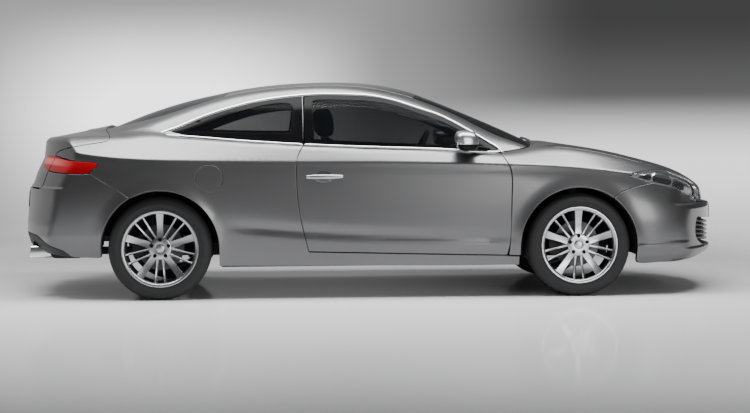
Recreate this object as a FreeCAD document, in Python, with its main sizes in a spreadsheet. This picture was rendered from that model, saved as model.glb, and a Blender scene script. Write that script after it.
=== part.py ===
"""Coupe car: a two-door body on four wheels, as a parametric FreeCAD document.

Frame: +X points to the nose, +Y to the car's left, +Z up, in millimetres.
The origin lies on the ground under the middle of the overall length and width.
"""

import FreeCAD, Part
import math
import os
from FreeCAD import Placement, Rotation, Vector

DOC = FreeCAD.newDocument("CoupeCar")
SHEET = DOC.addObject("Spreadsheet::Sheet", "Sizes")

# alias, value in mm or degrees, meaning
DRIVING_SIZES = (
    ("overall_length", 4643, "bumper to bumper"),
    ("overall_width", 1812, "over the rear wheel arches, without mirrors"),
    ("overall_height", 1397, "ground to the highest point of the roof"),
    ("wheelbase", 2693, "front axle to rear axle"),
    ("front_overhang", 1017, "front axle to the front bumper's face"),
    ("track", 1560, "between the middles of two opposite tyres"),
    ("tyre_radius", 331, "225/45 R18 tyre"),
    ("tyre_width", 225, "tyre section width"),
    ("tyre_bead_radius", 229, "tyre's inner edge"),
    ("rim_flange_radius", 246, "outer edge of the rim"),
    ("rim_width", 216, "over both flanges"),
    ("rim_wall", 9, "thickness of the rim's barrel"),
    ("hub_radius", 76, "wheel's centre with the five bolts"),
    ("hub_depth", 46, "thickness of the wheel's centre"),
    ("hub_inset", 34, "wheel's centre behind the rim's outer edge"),
    ("spoke_thickness", 24, "depth of a spoke"),
    ("wide_spoke_width", 46, "five broad spokes"),
    ("thin_spoke_width", 13, "ten slim spokes"),
    ("thin_spoke_spread", 25, "slim spoke to the middle of its pair at the rim"),
    ("thin_spoke_root", 15, "slim spoke to the middle of its pair at the hub"),
    ("bolt_circle", 114.3, "pitch circle of the five wheel bolts"),
    ("bolt_radius", 11, "recess of one wheel bolt"),
    ("disc_radius", 148, "brake disc"),
    ("disc_thickness", 26, "brake disc"),
    ("disc_offset", 62, "disc's outer face inboard of the wheel's mounting face"),
    ("disc_clearance", 7, "hub carrier to the brake disc"),
    ("kingpin_radius", 12, "ball joints of the hub carrier"),
    ("pin_clearance", 0.25, "radial clearance of a pin in its eye"),
    ("hinge_pin_radius", 4, "pin of a door hinge"),
    ("hinge_eye_wall", 3, "wall around a hinge pin"),
    ("hinge_room", 5, "around a hinge eye in the door"),
    ("hinge_height", 40, "eye of a door hinge"),
    ("rest_gap", 0.3, "a closed lid above its buffers"),
    ("stub_radius", 24, "stub axle in the wheel's bore"),
    ("stub_clearance", 0.06, "radial clearance between stub axle and wheel"),
    ("arch_radius", 378, "edge of the wheel arches"),
    ("arch_height", 326, "centre of the arch circle above the ground"),
    ("liner_wall", 5, "wheel arch liner"),
    ("liner_reach", 485, "inner wall of a front liner to the middle of the car"),
    ("panel_gap", 6, "shut line between two panels"),
    ("fit_gap", 0.3, "between a fixed piece and its seat"),
    ("skin", 26, "bonnet, wings, bumpers and boot lid with their frames"),
    ("side_wall", 78, "quarter panel and sill with their inner wall"),
    ("door_wall", 92, "whole door, skin to trim"),
    ("rail_wall", 40, "roof, roof rails and pillars"),
    ("glass_thickness", 5, "window glass"),
    ("glass_inset", 2, "glass below the outer skin"),
    ("floor_height", 196, "underside of the floor"),
    ("floor_wall", 34, "floor pan with its ribs"),
    ("tunnel_width", 205, "tunnel in the middle of the floor"),
    ("tunnel_height", 150, "tunnel above the floor"),
    ("bulkhead_wall", 30, "between the engine bay and the cabin"),
    ("seat_width", 510, "front seat"),
    ("seat_middle", 365, "middle of a front seat from the middle of the car"),
    ("seat_wall", 150, "thickness of the cushion and the backrest"),
    ("headrest_width", 260, "front headrest"),
    ("rear_bench_width", 1180, "rear seat"),
    ("steering_wheel_radius", 187, "steering wheel over its rim"),
    ("steering_rim_radius", 14, "section of the steering wheel's rim"),
    ("column_radius", 24, "steering column"),
    ("engine_start", 340, "rear face of the engine behind the front axle"),
    ("engine_length", 560, "engine block with gearbox, along the car"),
    ("engine_width", 640, "engine block with gearbox, across the car"),
    ("engine_height", 480, "engine block with gearbox"),
    ("exhaust_radius", 27, "exhaust pipe"),
    ("tip_width", 124, "exhaust tip across the car"),
    ("tip_height", 72, "exhaust tip"),
    ("tip_wall", 5, "exhaust tip"),
    ("silencer_length", 220, "rear silencer along the car"),
    ("silencer_width", 1120, "rear silencer across the car"),
    ("silencer_height", 88, "rear silencer"),
    ("spring_radius", 45, "coil spring with its damper"),
    ("lower_arm_height", 26, "lower control arm"),
    ("upper_arm_height", 22, "upper control arm"),
    ("upper_arm_width", 40, "upper control arm along the car"),
    ("beam_height", 68, "rear axle beam"),
    ("mirror_length", 150, "door mirror along the car"),
    ("mirror_width", 205, "door mirror across the car"),
    ("mirror_height", 125, "door mirror"),
    ("handle_length", 232, "door handle"),
    ("handle_height", 30, "door handle"),
    ("handle_depth", 13, "door handle"),
    ("flap_radius", 84, "fuel flap"),
    ("flap_thickness", 12, "fuel flap"),
    ("plate_length", 520, "blank number plate"),
    ("plate_height", 112, "blank number plate"),
    ("plate_thickness", 8, "blank number plate with its holder"),
    ("grille_bars", 6, "bars across the lower grille"),
    ("grille_bar_height", 10, "one bar of the lower grille"),
)
for row, (alias, value, meaning) in enumerate(DRIVING_SIZES, start=1):
    SHEET.set(f"A{row}", meaning)
    SHEET.set(f"B{row}", str(value))
    SHEET.setAlias(f"B{row}", alias)

# alias, formula on the sheet, meaning
DERIVED_SIZES = (
    ("front_axle_x", "=overall_length / 2 - front_overhang", "front axle from the middle of the length"),
    ("rear_axle_x", "=front_axle_x - wheelbase", "rear axle from the middle of the length"),
    ("track_half", "=track / 2", "middle of a tyre from the middle of the car"),
    ("steering_ring", "=steering_wheel_radius - steering_rim_radius", "middle line of its rim"),
    ("flap_bore_radius", "=flap_radius + panel_gap", "opening round the fuel flap"),
    ("column_bore", "=column_radius / 2 + pin_clearance", "steering wheel's bore on its column"),
)
for row, (alias, formula, meaning) in enumerate(DERIVED_SIZES, start=len(DRIVING_SIZES) + 2):
    SHEET.set(f"A{row}", meaning)
    SHEET.set(f"B{row}", formula)
    SHEET.setAlias(f"B{row}", alias)
DOC.recompute()


def size(alias):
    """Value of one driving size."""
    return float(SHEET.get(alias))


# The tables below are drawn for this length, wheelbase, overhang, width and height.
DRAWN_LENGTH = 4643.0
DRAWN_WHEELBASE = 2693.0
DRAWN_OVERHANG = 1017.0
DRAWN_WIDTH = 1812.0
DRAWN_HEIGHT = 1397.0

FRONT_AXLE = size("front_axle_x")
REAR_AXLE = size("rear_axle_x")
DRAWN_FRONT_AXLE = DRAWN_LENGTH / 2 - DRAWN_OVERHANG
DRAWN_REAR_AXLE = DRAWN_FRONT_AXLE - DRAWN_WHEELBASE
NOSE = size("overall_length") / 2
TAIL = -NOSE


def along(x):
    """A drawn position along the car, carried to the driving length, wheelbase and overhang."""
    drawn = (-DRAWN_LENGTH / 2, DRAWN_REAR_AXLE, DRAWN_FRONT_AXLE, DRAWN_LENGTH / 2)
    real = (TAIL, REAR_AXLE, FRONT_AXLE, NOSE)
    for first in (0, 1, 2):
        if x <= drawn[first + 1] or first == 2:
            share = (x - drawn[first]) / (drawn[first + 1] - drawn[first])
            return real[first] + share * (real[first + 1] - real[first])


def across(y):
    """A drawn position across the car, carried to the driving width."""
    return y * size("overall_width") / DRAWN_WIDTH


def up(z):
    """A drawn height, carried to the driving height."""
    return z * size("overall_height") / DRAWN_HEIGHT


# Cross-sections of the lower body, from tail to nose.
# x, then height and half width of: the bottom edge, the lower crease, the widest line,
# the shoulder crease and the upper edge; last the height in the middle.
LOWER_SECTIONS = (
    (-2400, 250, 540, 400, 620, 600, 660, 975, 610, 1000, 560, 1012),
    (-2180, 250, 655, 400, 742, 600, 778, 1000, 702, 1022, 672, 1034),
    (-2030, 256, 722, 400, 808, 600, 834, 972, 792, 1040, 704, 1060),
    (-1770, 262, 790, 404, 864, 600, 890, 926, 868, 1050, 720, 1098),
    (-1388, 215, 830, 420, 888, 600, 906, 897, 892, 1050, 748, 1062),
    (-1000, 200, 846, 424, 882, 590, 898, 886, 883, 1022, 776, 1030),
    (-500, 198, 852, 388, 880, 580, 891, 878, 875, 988, 796, 996),
    (0, 194, 853, 360, 880, 570, 888, 875, 871, 966, 803, 974),
    (500, 190, 851, 342, 878, 560, 887, 865, 868, 943, 800, 952),
    (860, 188, 846, 332, 877, 560, 890, 856, 866, 930, 776, 962),
    (1100, 190, 838, 330, 879, 568, 897, 846, 862, 962, 716, 992),
    (1304, 195, 826, 330, 880, 574, 900, 831, 856, 951, 712, 972),
    (1600, 200, 805, 328, 876, 560, 890, 798, 842, 893, 704, 923),
    (1850, 196, 762, 325, 842, 540, 855, 758, 793, 824, 664, 862),
    (2020, 190, 706, 320, 785, 520, 797, 713, 736, 768, 602, 811),
    (2150, 186, 650, 312, 712, 500, 722, 658, 664, 704, 530, 742),
    (2260, 190, 575, 305, 620, 480, 628, 606, 575, 636, 450, 650),
    (2400, 205, 470, 300, 500, 480, 500, 560, 460, 585, 360, 590),
)

# Cross-sections of the greenhouse, from the boot to the bonnet.
# x, then half width and height of: the waist, the window's upper edge and the rail's upper edge;
# last the height in the middle.
GREENHOUSE_SECTIONS = (
    (-1860, 560, 1000, 545, 1010, 500, 1030, 1050),
    (-1700, 625, 1020, 600, 1062, 545, 1090, 1118),
    (-1490, 694, 1042, 655, 1098, 572, 1147, 1200),
    (-1260, 728, 1036, 682, 1112, 580, 1214, 1272),
    (-960, 758, 1018, 652, 1221, 566, 1304, 1338),
    (-660, 776, 1000, 618, 1287, 548, 1352, 1380),
    (-300, 786, 978, 602, 1312, 538, 1369, 1397),
    (0, 790, 966, 608, 1299, 538, 1348, 1383),
    (270, 786, 954, 634, 1222, 550, 1280, 1326),
    (580, 770, 938, 682, 1088, 584, 1150, 1208),
    (820, 752, 920, 738, 932, 628, 1030, 1106),
    (1000, 706, 900, 694, 908, 650, 962, 1024),
    (1150, 640, 870, 630, 880, 590, 900, 952),
)
GREENHOUSE_FOOT = 800

# Side view of the tail and of the nose on the middle line, x and z, from the top down.
TAIL_PROFILE = (
    (-2150, 1500), (-2182, 1036), (-2192, 1012), (-2204, 905), (-2250, 812), (-2281, 724),
    (-2302, 713), (-2310, 600), (-2321.5, 480), (-2321.5, 400), (-2302, 335), (-2255, 288),
    (-2120, 256), (-2100, 0),
)
NOSE_PROFILE = (
    (2200, 1500), (2262, 640), (2270, 588), (2306, 576), (2313.5, 552), (2313.5, 430),
    (2309, 305), (2321.5, 286), (2308, 258), (2262, 226), (2190, 193), (2060, 160), (2000, 0),
)
TAIL_ROUNDING = 1500
NOSE_ROUNDING = 1250


def inset_profile(points, distance):
    """Half profile (half width, height) moved inwards; its ends stay on the middle line."""
    first = (-points[1][0], points[1][1])
    last = (-points[-2][0], points[-2][1])
    ring = [first, *points, last]
    moved = []
    for before, here, after in zip(ring, ring[1:], ring[2:]):
        normals = []
        for start, end in ((before, here), (here, after)):
            dy, dz = end[0] - start[0], end[1] - start[1]
            length = math.hypot(dy, dz)
            normals.append((-dz / length, dy / length))
        (ay, az), (by, bz) = normals
        scale = distance / (1 + ay * by + az * bz)
        moved.append((here[0] + (ay + by) * scale, here[1] + (az + bz) * scale))
    return moved


def at_station(x, point):
    """A point of a section, as a vector."""
    return Vector(x, point[0], point[1])


def mirrored_point(point):
    return (-point[0], point[1])


def section_wire(x, points, arcs):
    """Closed section at x: half profile, its mirror image, and arcs through the named middles."""
    edges = []
    bottom, right = points[0], points[1:-1]
    top = points[-1]
    last = len(right) - 1
    edges.append(Part.LineSegment(at_station(x, mirrored_point(right[0])), at_station(x, right[0])))
    index = 0
    sides = ([], [])
    while index < last:
        if index + 1 in arcs:
            trio = right[index:index + 3]
            sides[0].append(Part.Arc(*(at_station(x, p) for p in trio)))
            sides[1].append(Part.Arc(*(at_station(x, mirrored_point(p)) for p in reversed(trio))))
            index += 2
        else:
            pair = right[index:index + 2]
            sides[0].append(Part.LineSegment(*(at_station(x, p) for p in pair)))
            sides[1].append(Part.LineSegment(*(at_station(x, mirrored_point(p)) for p in reversed(pair))))
            index += 1
    edge = right[last]
    crown = Part.Arc(at_station(x, edge), at_station(x, top), at_station(x, mirrored_point(edge)))
    edges += sides[0] + [crown] + sides[1][::-1]
    return Part.Wire([edge.toShape() for edge in edges])


def end_keep(profile, rounding, inset):
    """What the rounded tail or nose leaves: a revolved profile and all that lies behind it."""
    side = 1 if profile[0][0] > 0 else -1
    middle = side * (NOSE - rounding)
    foot, head = up(profile[-1][1]), up(profile[0][1])
    outline = [Vector(along(x) - side * inset, 0, up(z)) for x, z in profile]
    outline += [Vector(middle, 0, foot), Vector(middle, 0, head)]
    disc = Part.makeSolid(Part.makePolygon(outline + outline[:1]).revolve(
        Vector(middle, 0, 0), Vector(0, 0, 1), 360))
    if disc.Volume < 0:
        disc.reverse()
    start = middle if side < 0 else -3 * NOSE
    block = Part.makeBox(middle * side + 3 * NOSE, 3000, head - foot, Vector(start, -1500, foot))
    return disc.fuse(block)


def lower_body(inset):
    """The whole lower body as one solid, moved inwards by inset."""
    wires = []
    for row in LOWER_SECTIONS:
        x, pairs, middle = row[0], row[1:11], row[11]
        points = [(0.0, up(pairs[0]))]
        points += [(across(pairs[i + 1]), up(pairs[i])) for i in (0, 2, 4, 6, 8)]
        points.append((0.0, up(middle)))
        wires.append(section_wire(along(x), inset_profile(points, inset), arcs={2}))
    solid = Part.makeLoft(wires, True, False, False, 3)
    for profile, rounding in ((TAIL_PROFILE, TAIL_ROUNDING), (NOSE_PROFILE, NOSE_ROUNDING)):
        solid = solid.common(end_keep(profile, rounding, inset))
    return solid.Solids[0]


SIDE_GLASS_BULGE = 0.035
RAIL_BULGE = 0.08


def bulged(start, end, share):
    """Middle of the chord between two section points, moved outwards by a share of its length."""
    rise, run = end[1] - start[1], start[0] - end[0]
    return ((start[0] + end[0]) / 2 + share * rise, (start[1] + end[1]) / 2 + share * run)


def greenhouse(inset):
    """Cabin above the waist as one solid, moved inwards and down by inset."""
    wires = []
    foot = up(GREENHOUSE_FOOT) - inset
    for x, waist_y, waist_z, head_y, head_z, rail_y, rail_z, middle in GREENHOUSE_SECTIONS:
        end = {GREENHOUSE_SECTIONS[0][0]: -inset, GREENHOUSE_SECTIONS[-1][0]: inset}.get(x, 0)
        side = bulged((waist_y, waist_z), (head_y, head_z), SIDE_GLASS_BULGE)
        rail = bulged((head_y, head_z), (rail_y, rail_z), RAIL_BULGE)
        half = ((waist_y, waist_z), side, (head_y, head_z), rail, (rail_y, rail_z))
        points = [(0.0, foot), (across(waist_y) - inset, foot)]
        points += [(across(y) - inset, up(z) - inset) for y, z in half]
        points.append((0.0, up(middle) - inset))
        wires.append(section_wire(along(x) + end, points, arcs={2, 4}))
    return Part.makeLoft(wires, True, False, False, 3)


LEAN_WIDTH = 880


def side_prism(outline, near, far, lean=0.0):
    """Block over a side-view outline (x, z), from y = -near to y = -far. With a lean it has the
    outline's place at the skin, and lies further forward inside."""
    ring = [Vector(along(x) + lean * (across(LEAN_WIDTH) - near), -near, up(z)) for x, z in outline]
    face = Part.Face(Part.makePolygon(ring + ring[:1]))
    return face.extrude(Vector(-lean * (far - near), near - far, 0))


def plan_prism(outline, foot, head, slant=0.0):
    """Block over a half outline and its mirror image; with a slant, it leans forward through
    the heights that the outline's points (x, y, z) give."""
    half = [(along(point[0]) - slant * (up(point[2]) - foot if slant else 0), across(point[1]))
            for point in outline]
    ring = [Vector(x, y, foot) for x, y in half]
    ring += [Vector(x, -y, foot) for x, y in reversed(half) if y > 0]
    face = Part.Face(Part.makePolygon(ring + ring[:1]))
    return face.extrude(Vector(slant * (head - foot), 0, head - foot))


def grown(outline, distance):
    """A closed outline moved outwards by distance, with mitred corners."""
    area = sum(a[0] * b[1] - b[0] * a[1] for a, b in zip(outline, outline[1:] + outline[:1]))
    turn = 1 if area > 0 else -1
    moved = []
    count = len(outline)
    for index, here in enumerate(outline):
        normals = []
        for start, end in ((outline[index - 1], here), (here, outline[(index + 1) % count])):
            dx, dz = end[0] - start[0], end[1] - start[1]
            length = math.hypot(dx, dz)
            normals.append((turn * dz / length, -turn * dx / length))
        (ax, az), (bx, bz) = normals
        scale = distance / (1 + ax * bx + az * bz)
        moved.append((here[0] + (ax + bx) * scale, here[1] + (az + bz) * scale, *here[2:]))
    return moved


def box(x0, x1, y0, y1, z0, z1):
    """Box between opposite corners."""
    return Part.makeBox(x1 - x0, y1 - y0, z1 - z0, Vector(x0, y0, z0))


def rod(start, end, radius):
    """Round bar between two points."""
    way = Vector(*end) - Vector(*start)
    return Part.makeCylinder(radius, way.Length, Vector(*start), way)


def joined(*shapes):
    """One solid from shapes that meet."""
    return shapes[0].multiFuse(list(shapes[1:])).removeSplitter()


def mirrored(shape):
    """The same shape on the car's other side."""
    return shape.mirror(Vector(0, 0, 0), Vector(0, 1, 0))


def primitive(kind, label, base, way=(0, 0, 1), **sizes):
    """A document primitive whose sizes follow the sheet, set at base with its Z axis along way."""
    piece = DOC.addObject(f"Part::{kind}", label)
    for name, expression in sizes.items():
        piece.setExpression(name, expression)
    piece.Placement = Placement(Vector(*base), Rotation(Vector(0, 0, 1), Vector(*way)))
    DOC.recompute()
    return piece


NODES = []


def node(label, shape):
    """Put a finished sub-part in the document."""
    piece = DOC.addObject("Part::Feature", label)
    piece.Label = label
    piece.Shape = shape
    NODES.append(piece)


def pair(label, shape):
    """A sub-part of the right side and its mirror image."""
    node(f"{label}_right", shape)
    node(f"{label}_left", mirrored(shape))


def one_solid(shape):
    """The largest solid of a boolean's result."""
    return max(shape.Solids, key=lambda solid: solid.Volume)


# ---------------------------------------------------------------- outlines, drawn as the tables

# Side views, x and z.
DOOR_OUTLINE = [
    (-470, 1030), (-470, 988), (-508, 904), (-511, 669), (-491, 522), (-440, 301), (840, 266),
    (858, 344), (868, 637), (871, 771), (862, 829), (842, 872), (815, 922), (815, 1000),
]
WINDOW_OUTLINE = [
    (-462, 820), (-462, 985), (-456, 1300), (-370, 1305), (-220, 1304), (-30, 1294), (120, 1265),
    (270, 1216), (430, 1161), (580, 1082), (730, 993), (790, 952), (812, 920), (812, 820),
]
SAIL_START = 640
QUARTER_GLASS_OUTLINE = [
    (-565, 1034), (-1110, 1072), (-1215, 1076), (-1110, 1120), (-960, 1180), (-800, 1228),
    (-660, 1254), (-565, 1266),
]
REAR_BUMPER_OUTLINE = [
    (-1620, 684), (-1832, 816), (-1870, 810), (-2090, 816), (-2160, 826), (-2500, 826),
    (-2500, 100), (-1760, 100), (-1760, 684),
]
FRONT_BUMPER_OUTLINE = [
    (1520, 629), (1580, 671), (1790, 727), (1890, 704), (1950, 685), (2020, 656), (2100, 621),
    (2170, 590), (2500, 583), (2500, 100), (1640, 100), (1640, 629),
]
TAIL_LAMP_OUTLINE = [
    (-1770, 872), (-1800, 886), (-1950, 897), (-2040, 906), (-2110, 917), (-2500, 921),
    (-2500, 826), (-2160, 826), (-2090, 816), (-1870, 810), (-1800, 843),
]
HEADLAMP_OUTLINE = [
    (1630, 781), (1700, 797), (1840, 808), (1930, 803), (1990, 800), (2500, 800), (2500, 583),
    (2170, 590), (2100, 621), (2020, 656), (1950, 685), (1890, 704), (1790, 727), (1740, 741),
]

# Half plans, x and y.
ROOF_PLAN = [
    (-950, 0), (-958, 300), (-985, 538), (-960, 552), (-660, 536), (-300, 526), (0, 526),
    (262, 536), (292, 300), (300, 0),
]
WINDSCREEN_PLAN = [
    (300, 0), (292, 300), (262, 536), (580, 574), (820, 616), (1000, 636), (1100, 600), (1130, 0),
]
REAR_WINDOW_PLAN = [
    (-950, 0), (-958, 300), (-985, 538), (-1260, 560), (-1490, 550), (-1700, 520), (-1760, 490),
    (-1760, 0),
]
# Half plan of the bonnet with its heights: x, y, z.
BONNET_PLAN = [
    (1206, 0, 982), (1200, 300, 978), (1182, 600, 968), (1166, 700, 962), (1304, 700, 951),
    (1600, 694, 893), (1850, 652, 826), (2020, 572, 772), (2100, 500, 735), (2160, 435, 690),
    (2220, 365, 655), (2262, 300, 630), (2500, 300, 630), (2500, 0, 630),
]
BONNET_LEAN = 0.25
LID_FRONT = -1756
LID_HALF_WIDTH = 570
LID_FOOT = 716
BONNET_TIP = 590
SILL_SEAM = 262
FLAP_X, FLAP_Z = -1070, 779

# ---------------------------------------------------------------- places shared by several pieces

GAP = size("panel_gap")
TRACK_HALF = size("track_half")
TYRE_R = size("tyre_radius")
WHEEL_OUTER = TRACK_HALF + size("rim_width") / 2
MOUNTING_FACE = WHEEL_OUTER - size("hub_inset") - size("hub_depth")
DISC_OUTER = MOUNTING_FACE - size("disc_offset")
DISC_INNER = DISC_OUTER - size("disc_thickness")
KINGPIN_Y = DISC_INNER - size("disc_clearance") - size("kingpin_radius")
LINER_R = size("arch_radius") + size("liner_wall")
HUB_Z = TYRE_R
CARRIER_TOP, CARRIER_FOOT = HUB_Z + 96, HUB_Z - 84
UPPER_ARM_FOOT = CARRIER_TOP + 10
UPPER_ARM_TOP = UPPER_ARM_FOOT + size("upper_arm_height")
UPPER_ARM_HALF = size("upper_arm_width") / 2
ARCH_Z = size("arch_height")
BULKHEAD_FRONT = FRONT_AXLE - LINER_R - 6
BULKHEAD_REAR = BULKHEAD_FRONT - size("bulkhead_wall")
HINGE_X, HINGE_Y = along(790), across(866)
FLOOR_Z = size("floor_height")
FLOOR_TOP = FLOOR_Z + size("floor_wall")
CABIN_HALF = across(700)
TUB_HALF = across(600)
SHELF_Z = up(880)
BOOT_FLOOR = up(400)

# ---------------------------------------------------------------- master bodies

OUTER = lower_body(0)
SKIN_INNER = lower_body(size("skin"))
WALL_INNER = lower_body(size("side_wall"))
HOUSE = greenhouse(0)
HOUSE_INNER = greenhouse(size("rail_wall"))
GLASS_OUTER = greenhouse(size("glass_inset"))
GLASS_INNER = greenhouse(size("glass_inset") + size("glass_thickness"))
SKIN_SHELL = OUTER.cut(SKIN_INNER)
WALL_SHELL = OUTER.cut(WALL_INNER)


RIGHT = box(TAIL - 200, NOSE + 200, -1500, 0, 0, 1600)


def arch_block(axle, radius, near, far):
    """What a wheel arch leaves open: a cylinder and the space below it."""
    cylinder = Part.makeCylinder(radius, far - near, Vector(axle, -near, ARCH_Z), Vector(0, -1, 0))
    return cylinder.fuse(box(axle - radius, axle + radius, -far, -near, -10, ARCH_Z))


FRONT_ARCH = arch_block(FRONT_AXLE, size("arch_radius"), 0, 1200)
REAR_ARCH = arch_block(REAR_AXLE, size("arch_radius"), 0, 1200)
DOOR_EDGE_LEAN = 0.1
DOOR_OPENING = side_prism(DOOR_OUTLINE, CABIN_HALF, across(1100), DOOR_EDGE_LEAN)
WINDOW_OPENING = side_prism(grown(WINDOW_OUTLINE, GAP + 2), across(400), across(1100))
QUARTER_OPENING = side_prism(QUARTER_GLASS_OUTLINE, across(400), across(1100))
LID_BLOCK = box(TAIL - 200, along(LID_FRONT), -across(LID_HALF_WIDTH), across(LID_HALF_WIDTH),
                up(LID_FOOT), 1400)
LID_OPENING = box(TAIL - 200, along(LID_FRONT) + GAP + 2, -across(LID_HALF_WIDTH) - GAP,
                  across(LID_HALF_WIDTH) + GAP, up(LID_FOOT) - GAP - 2, 1400)
BONNET_FOOT, BONNET_HEAD = up(510), 1400
BONNET_BLOCK = plan_prism(BONNET_PLAN, BONNET_FOOT, BONNET_HEAD, BONNET_LEAN)
BONNET_OPENING = plan_prism(grown(BONNET_PLAN, GAP), BONNET_FOOT, BONNET_HEAD, BONNET_LEAN)
CUTS_ABOVE_SIDE = (
    plan_prism(ROOF_PLAN, up(1050), 1500), plan_prism(WINDSCREEN_PLAN, SHELF_Z, 1500),
    plan_prism(REAR_WINDOW_PLAN, up(1010), 1500),
)

# ---------------------------------------------------------------- roof and windows


def pane(block):
    """Window glass within a block."""
    return one_solid(GLASS_OUTER.common(block).cut(GLASS_INNER))


node("roof_panel", one_solid(HOUSE.common(CUTS_ABOVE_SIDE[0]).cut(HOUSE_INNER)))
node("windscreen", pane(plan_prism(WINDSCREEN_PLAN, up(925), 1500)))
node("rear_window", one_solid(pane(plan_prism(REAR_WINDOW_PLAN, up(1062), 1500)).cut(LID_OPENING)))
quarter_glass = pane(QUARTER_OPENING)
node("quarter_windows", Part.makeCompound([quarter_glass, mirrored(quarter_glass)]))

# ---------------------------------------------------------------- front end

front_bumper = SKIN_SHELL.common(
    side_prism(FRONT_BUMPER_OUTLINE, -1500, 1500))
front_bumper = front_bumper.cut(FRONT_ARCH).cut(mirrored(FRONT_ARCH))
GRILLE_FRAME = [(0, 296), (500, 300), (600, 340), (560, 462), (0, 468)]


def front_prism(outline, start, end):
    """Block over a half front view (y, z) and its mirror image, from start to end along x."""
    half = [(across(y), up(z)) for y, z in outline]
    ring = [Vector(start, y, z) for y, z in half]
    ring += [Vector(start, -y, z) for y, z in reversed(half) if y > 0]
    return Part.Face(Part.makePolygon(ring + ring[:1])).extrude(Vector(end - start, 0, 0))


GRILLE_OPENING = front_prism(GRILLE_FRAME, NOSE - 500, NOSE + 100)
front_bumper = one_solid(front_bumper.cut(GRILLE_OPENING))
node("front_bumper", front_bumper)

step = (up(462) - up(300)) / size("grille_bars")
bars = [box(NOSE - 500, NOSE, -900, 900, up(300) + step * (i + 0.5) - size("grille_bar_height") / 2,
            up(300) + step * (i + 0.5) + size("grille_bar_height") / 2)
        for i in range(int(size("grille_bars")))]


def moved(shape, x=0, y=0, z=0):
    """A shifted copy."""
    return shape.translated(Vector(x, y, z))


def nose_drum(inset):
    """Upright drum that lies under the rounded nose by inset."""
    return Part.makeCylinder(NOSE_ROUNDING - inset, up(400), Vector(NOSE - NOSE_ROUNDING, 0, up(200)))


grille_band = nose_drum(20).cut(nose_drum(40)).common(GRILLE_OPENING)
grille_back = nose_drum(36).cut(nose_drum(44)).common(GRILLE_OPENING)
grille = grille_back.fuse(grille_band.common(Part.makeCompound(bars)))
node("front_grille", one_solid(grille))

HEADLAMP_BLOCK = side_prism(HEADLAMP_OUTLINE, across(300), across(1100)).cut(BONNET_OPENING)
headlamp = one_solid(WALL_SHELL.common(HEADLAMP_BLOCK))
node("headlamps", Part.makeCompound([headlamp, mirrored(headlamp)]))

fender_block = box(along(830), along(1960), -1100, -across(560), up(SILL_SEAM), 1200)
front_fender = SKIN_SHELL.common(fender_block)
for hole in (DOOR_OPENING, BONNET_OPENING, HEADLAMP_BLOCK, FRONT_ARCH, HOUSE,
             side_prism(FRONT_BUMPER_OUTLINE, 0, 1500), plan_prism(
                 [(900, 0), (900, 622), (1010, 640), (1196, 640), (1196, 0)], 800, 1400)):
    front_fender = front_fender.cut(hole)
front_fender = one_solid(front_fender)
pair("front_fender", front_fender)

cowl_upright = box(along(1160), along(1186), -across(630), across(630), SHELF_Z + 25, 1200)
cowl = SKIN_SHELL.common(plan_prism(
    [(900, 0), (900, 622), (1010, 640), (1196, 640), (1196, 0)], 800, 1400))
cowl = one_solid(cowl.cut(GLASS_OUTER).cut(BONNET_OPENING))
node("cowl", cowl)

bulkhead = joined(
    box(BULKHEAD_REAR, BULKHEAD_FRONT, -across(830), across(830), FLOOR_Z, SHELF_Z),
    box(BULKHEAD_REAR, along(1190), -across(720), across(720), SHELF_Z, SHELF_Z + 25),
    cowl_upright,
).common(WALL_INNER)
bulkhead = bulkhead.cut(DOOR_OPENING).cut(mirrored(DOOR_OPENING))

bonnet = one_solid(SKIN_SHELL.common(BONNET_BLOCK).common(
    box(0, NOSE + 200, -1000, 1000, up(BONNET_TIP), 1400)).cut(side_prism(
        [(2262, 596), (2262, 560), (2600, 560), (2600, 596)], -1500, 1500)))
node("bonnet", bonnet)

# ---------------------------------------------------------------- rear end

rear_bumper = SKIN_SHELL.common(side_prism(REAR_BUMPER_OUTLINE, -1500, 1500))
rear_bumper = rear_bumper.cut(LID_OPENING).cut(REAR_ARCH).cut(mirrored(REAR_ARCH))
rear_bumper = rear_bumper.cut(box(along(-2190), 0, -across(660), across(660), 0, up(420)))
TIP_Y, TIP_Z = across(480), up(296)
TIP_HALF_WIDTH, TIP_HALF_HEIGHT = size("tip_width") / 2, size("tip_height") / 2
for hand in (-1, 1):
    rear_bumper = rear_bumper.cut(box(
        TAIL - 100, along(-2100), hand * TIP_Y - TIP_HALF_WIDTH - 10, hand * TIP_Y + TIP_HALF_WIDTH + 10,
        0, TIP_Z + TIP_HALF_HEIGHT + 10))
node("rear_bumper", one_solid(rear_bumper))

node("boot_lid", one_solid(SKIN_SHELL.common(LID_BLOCK)))

TAIL_LAMP_BLOCK = side_prism(TAIL_LAMP_OUTLINE, across(LID_HALF_WIDTH) + GAP, across(1100))
tail_lamp = one_solid(WALL_SHELL.common(TAIL_LAMP_BLOCK))
node("tail_lamps", Part.makeCompound([tail_lamp, mirrored(tail_lamp)]))

# ---------------------------------------------------------------- sides

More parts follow.
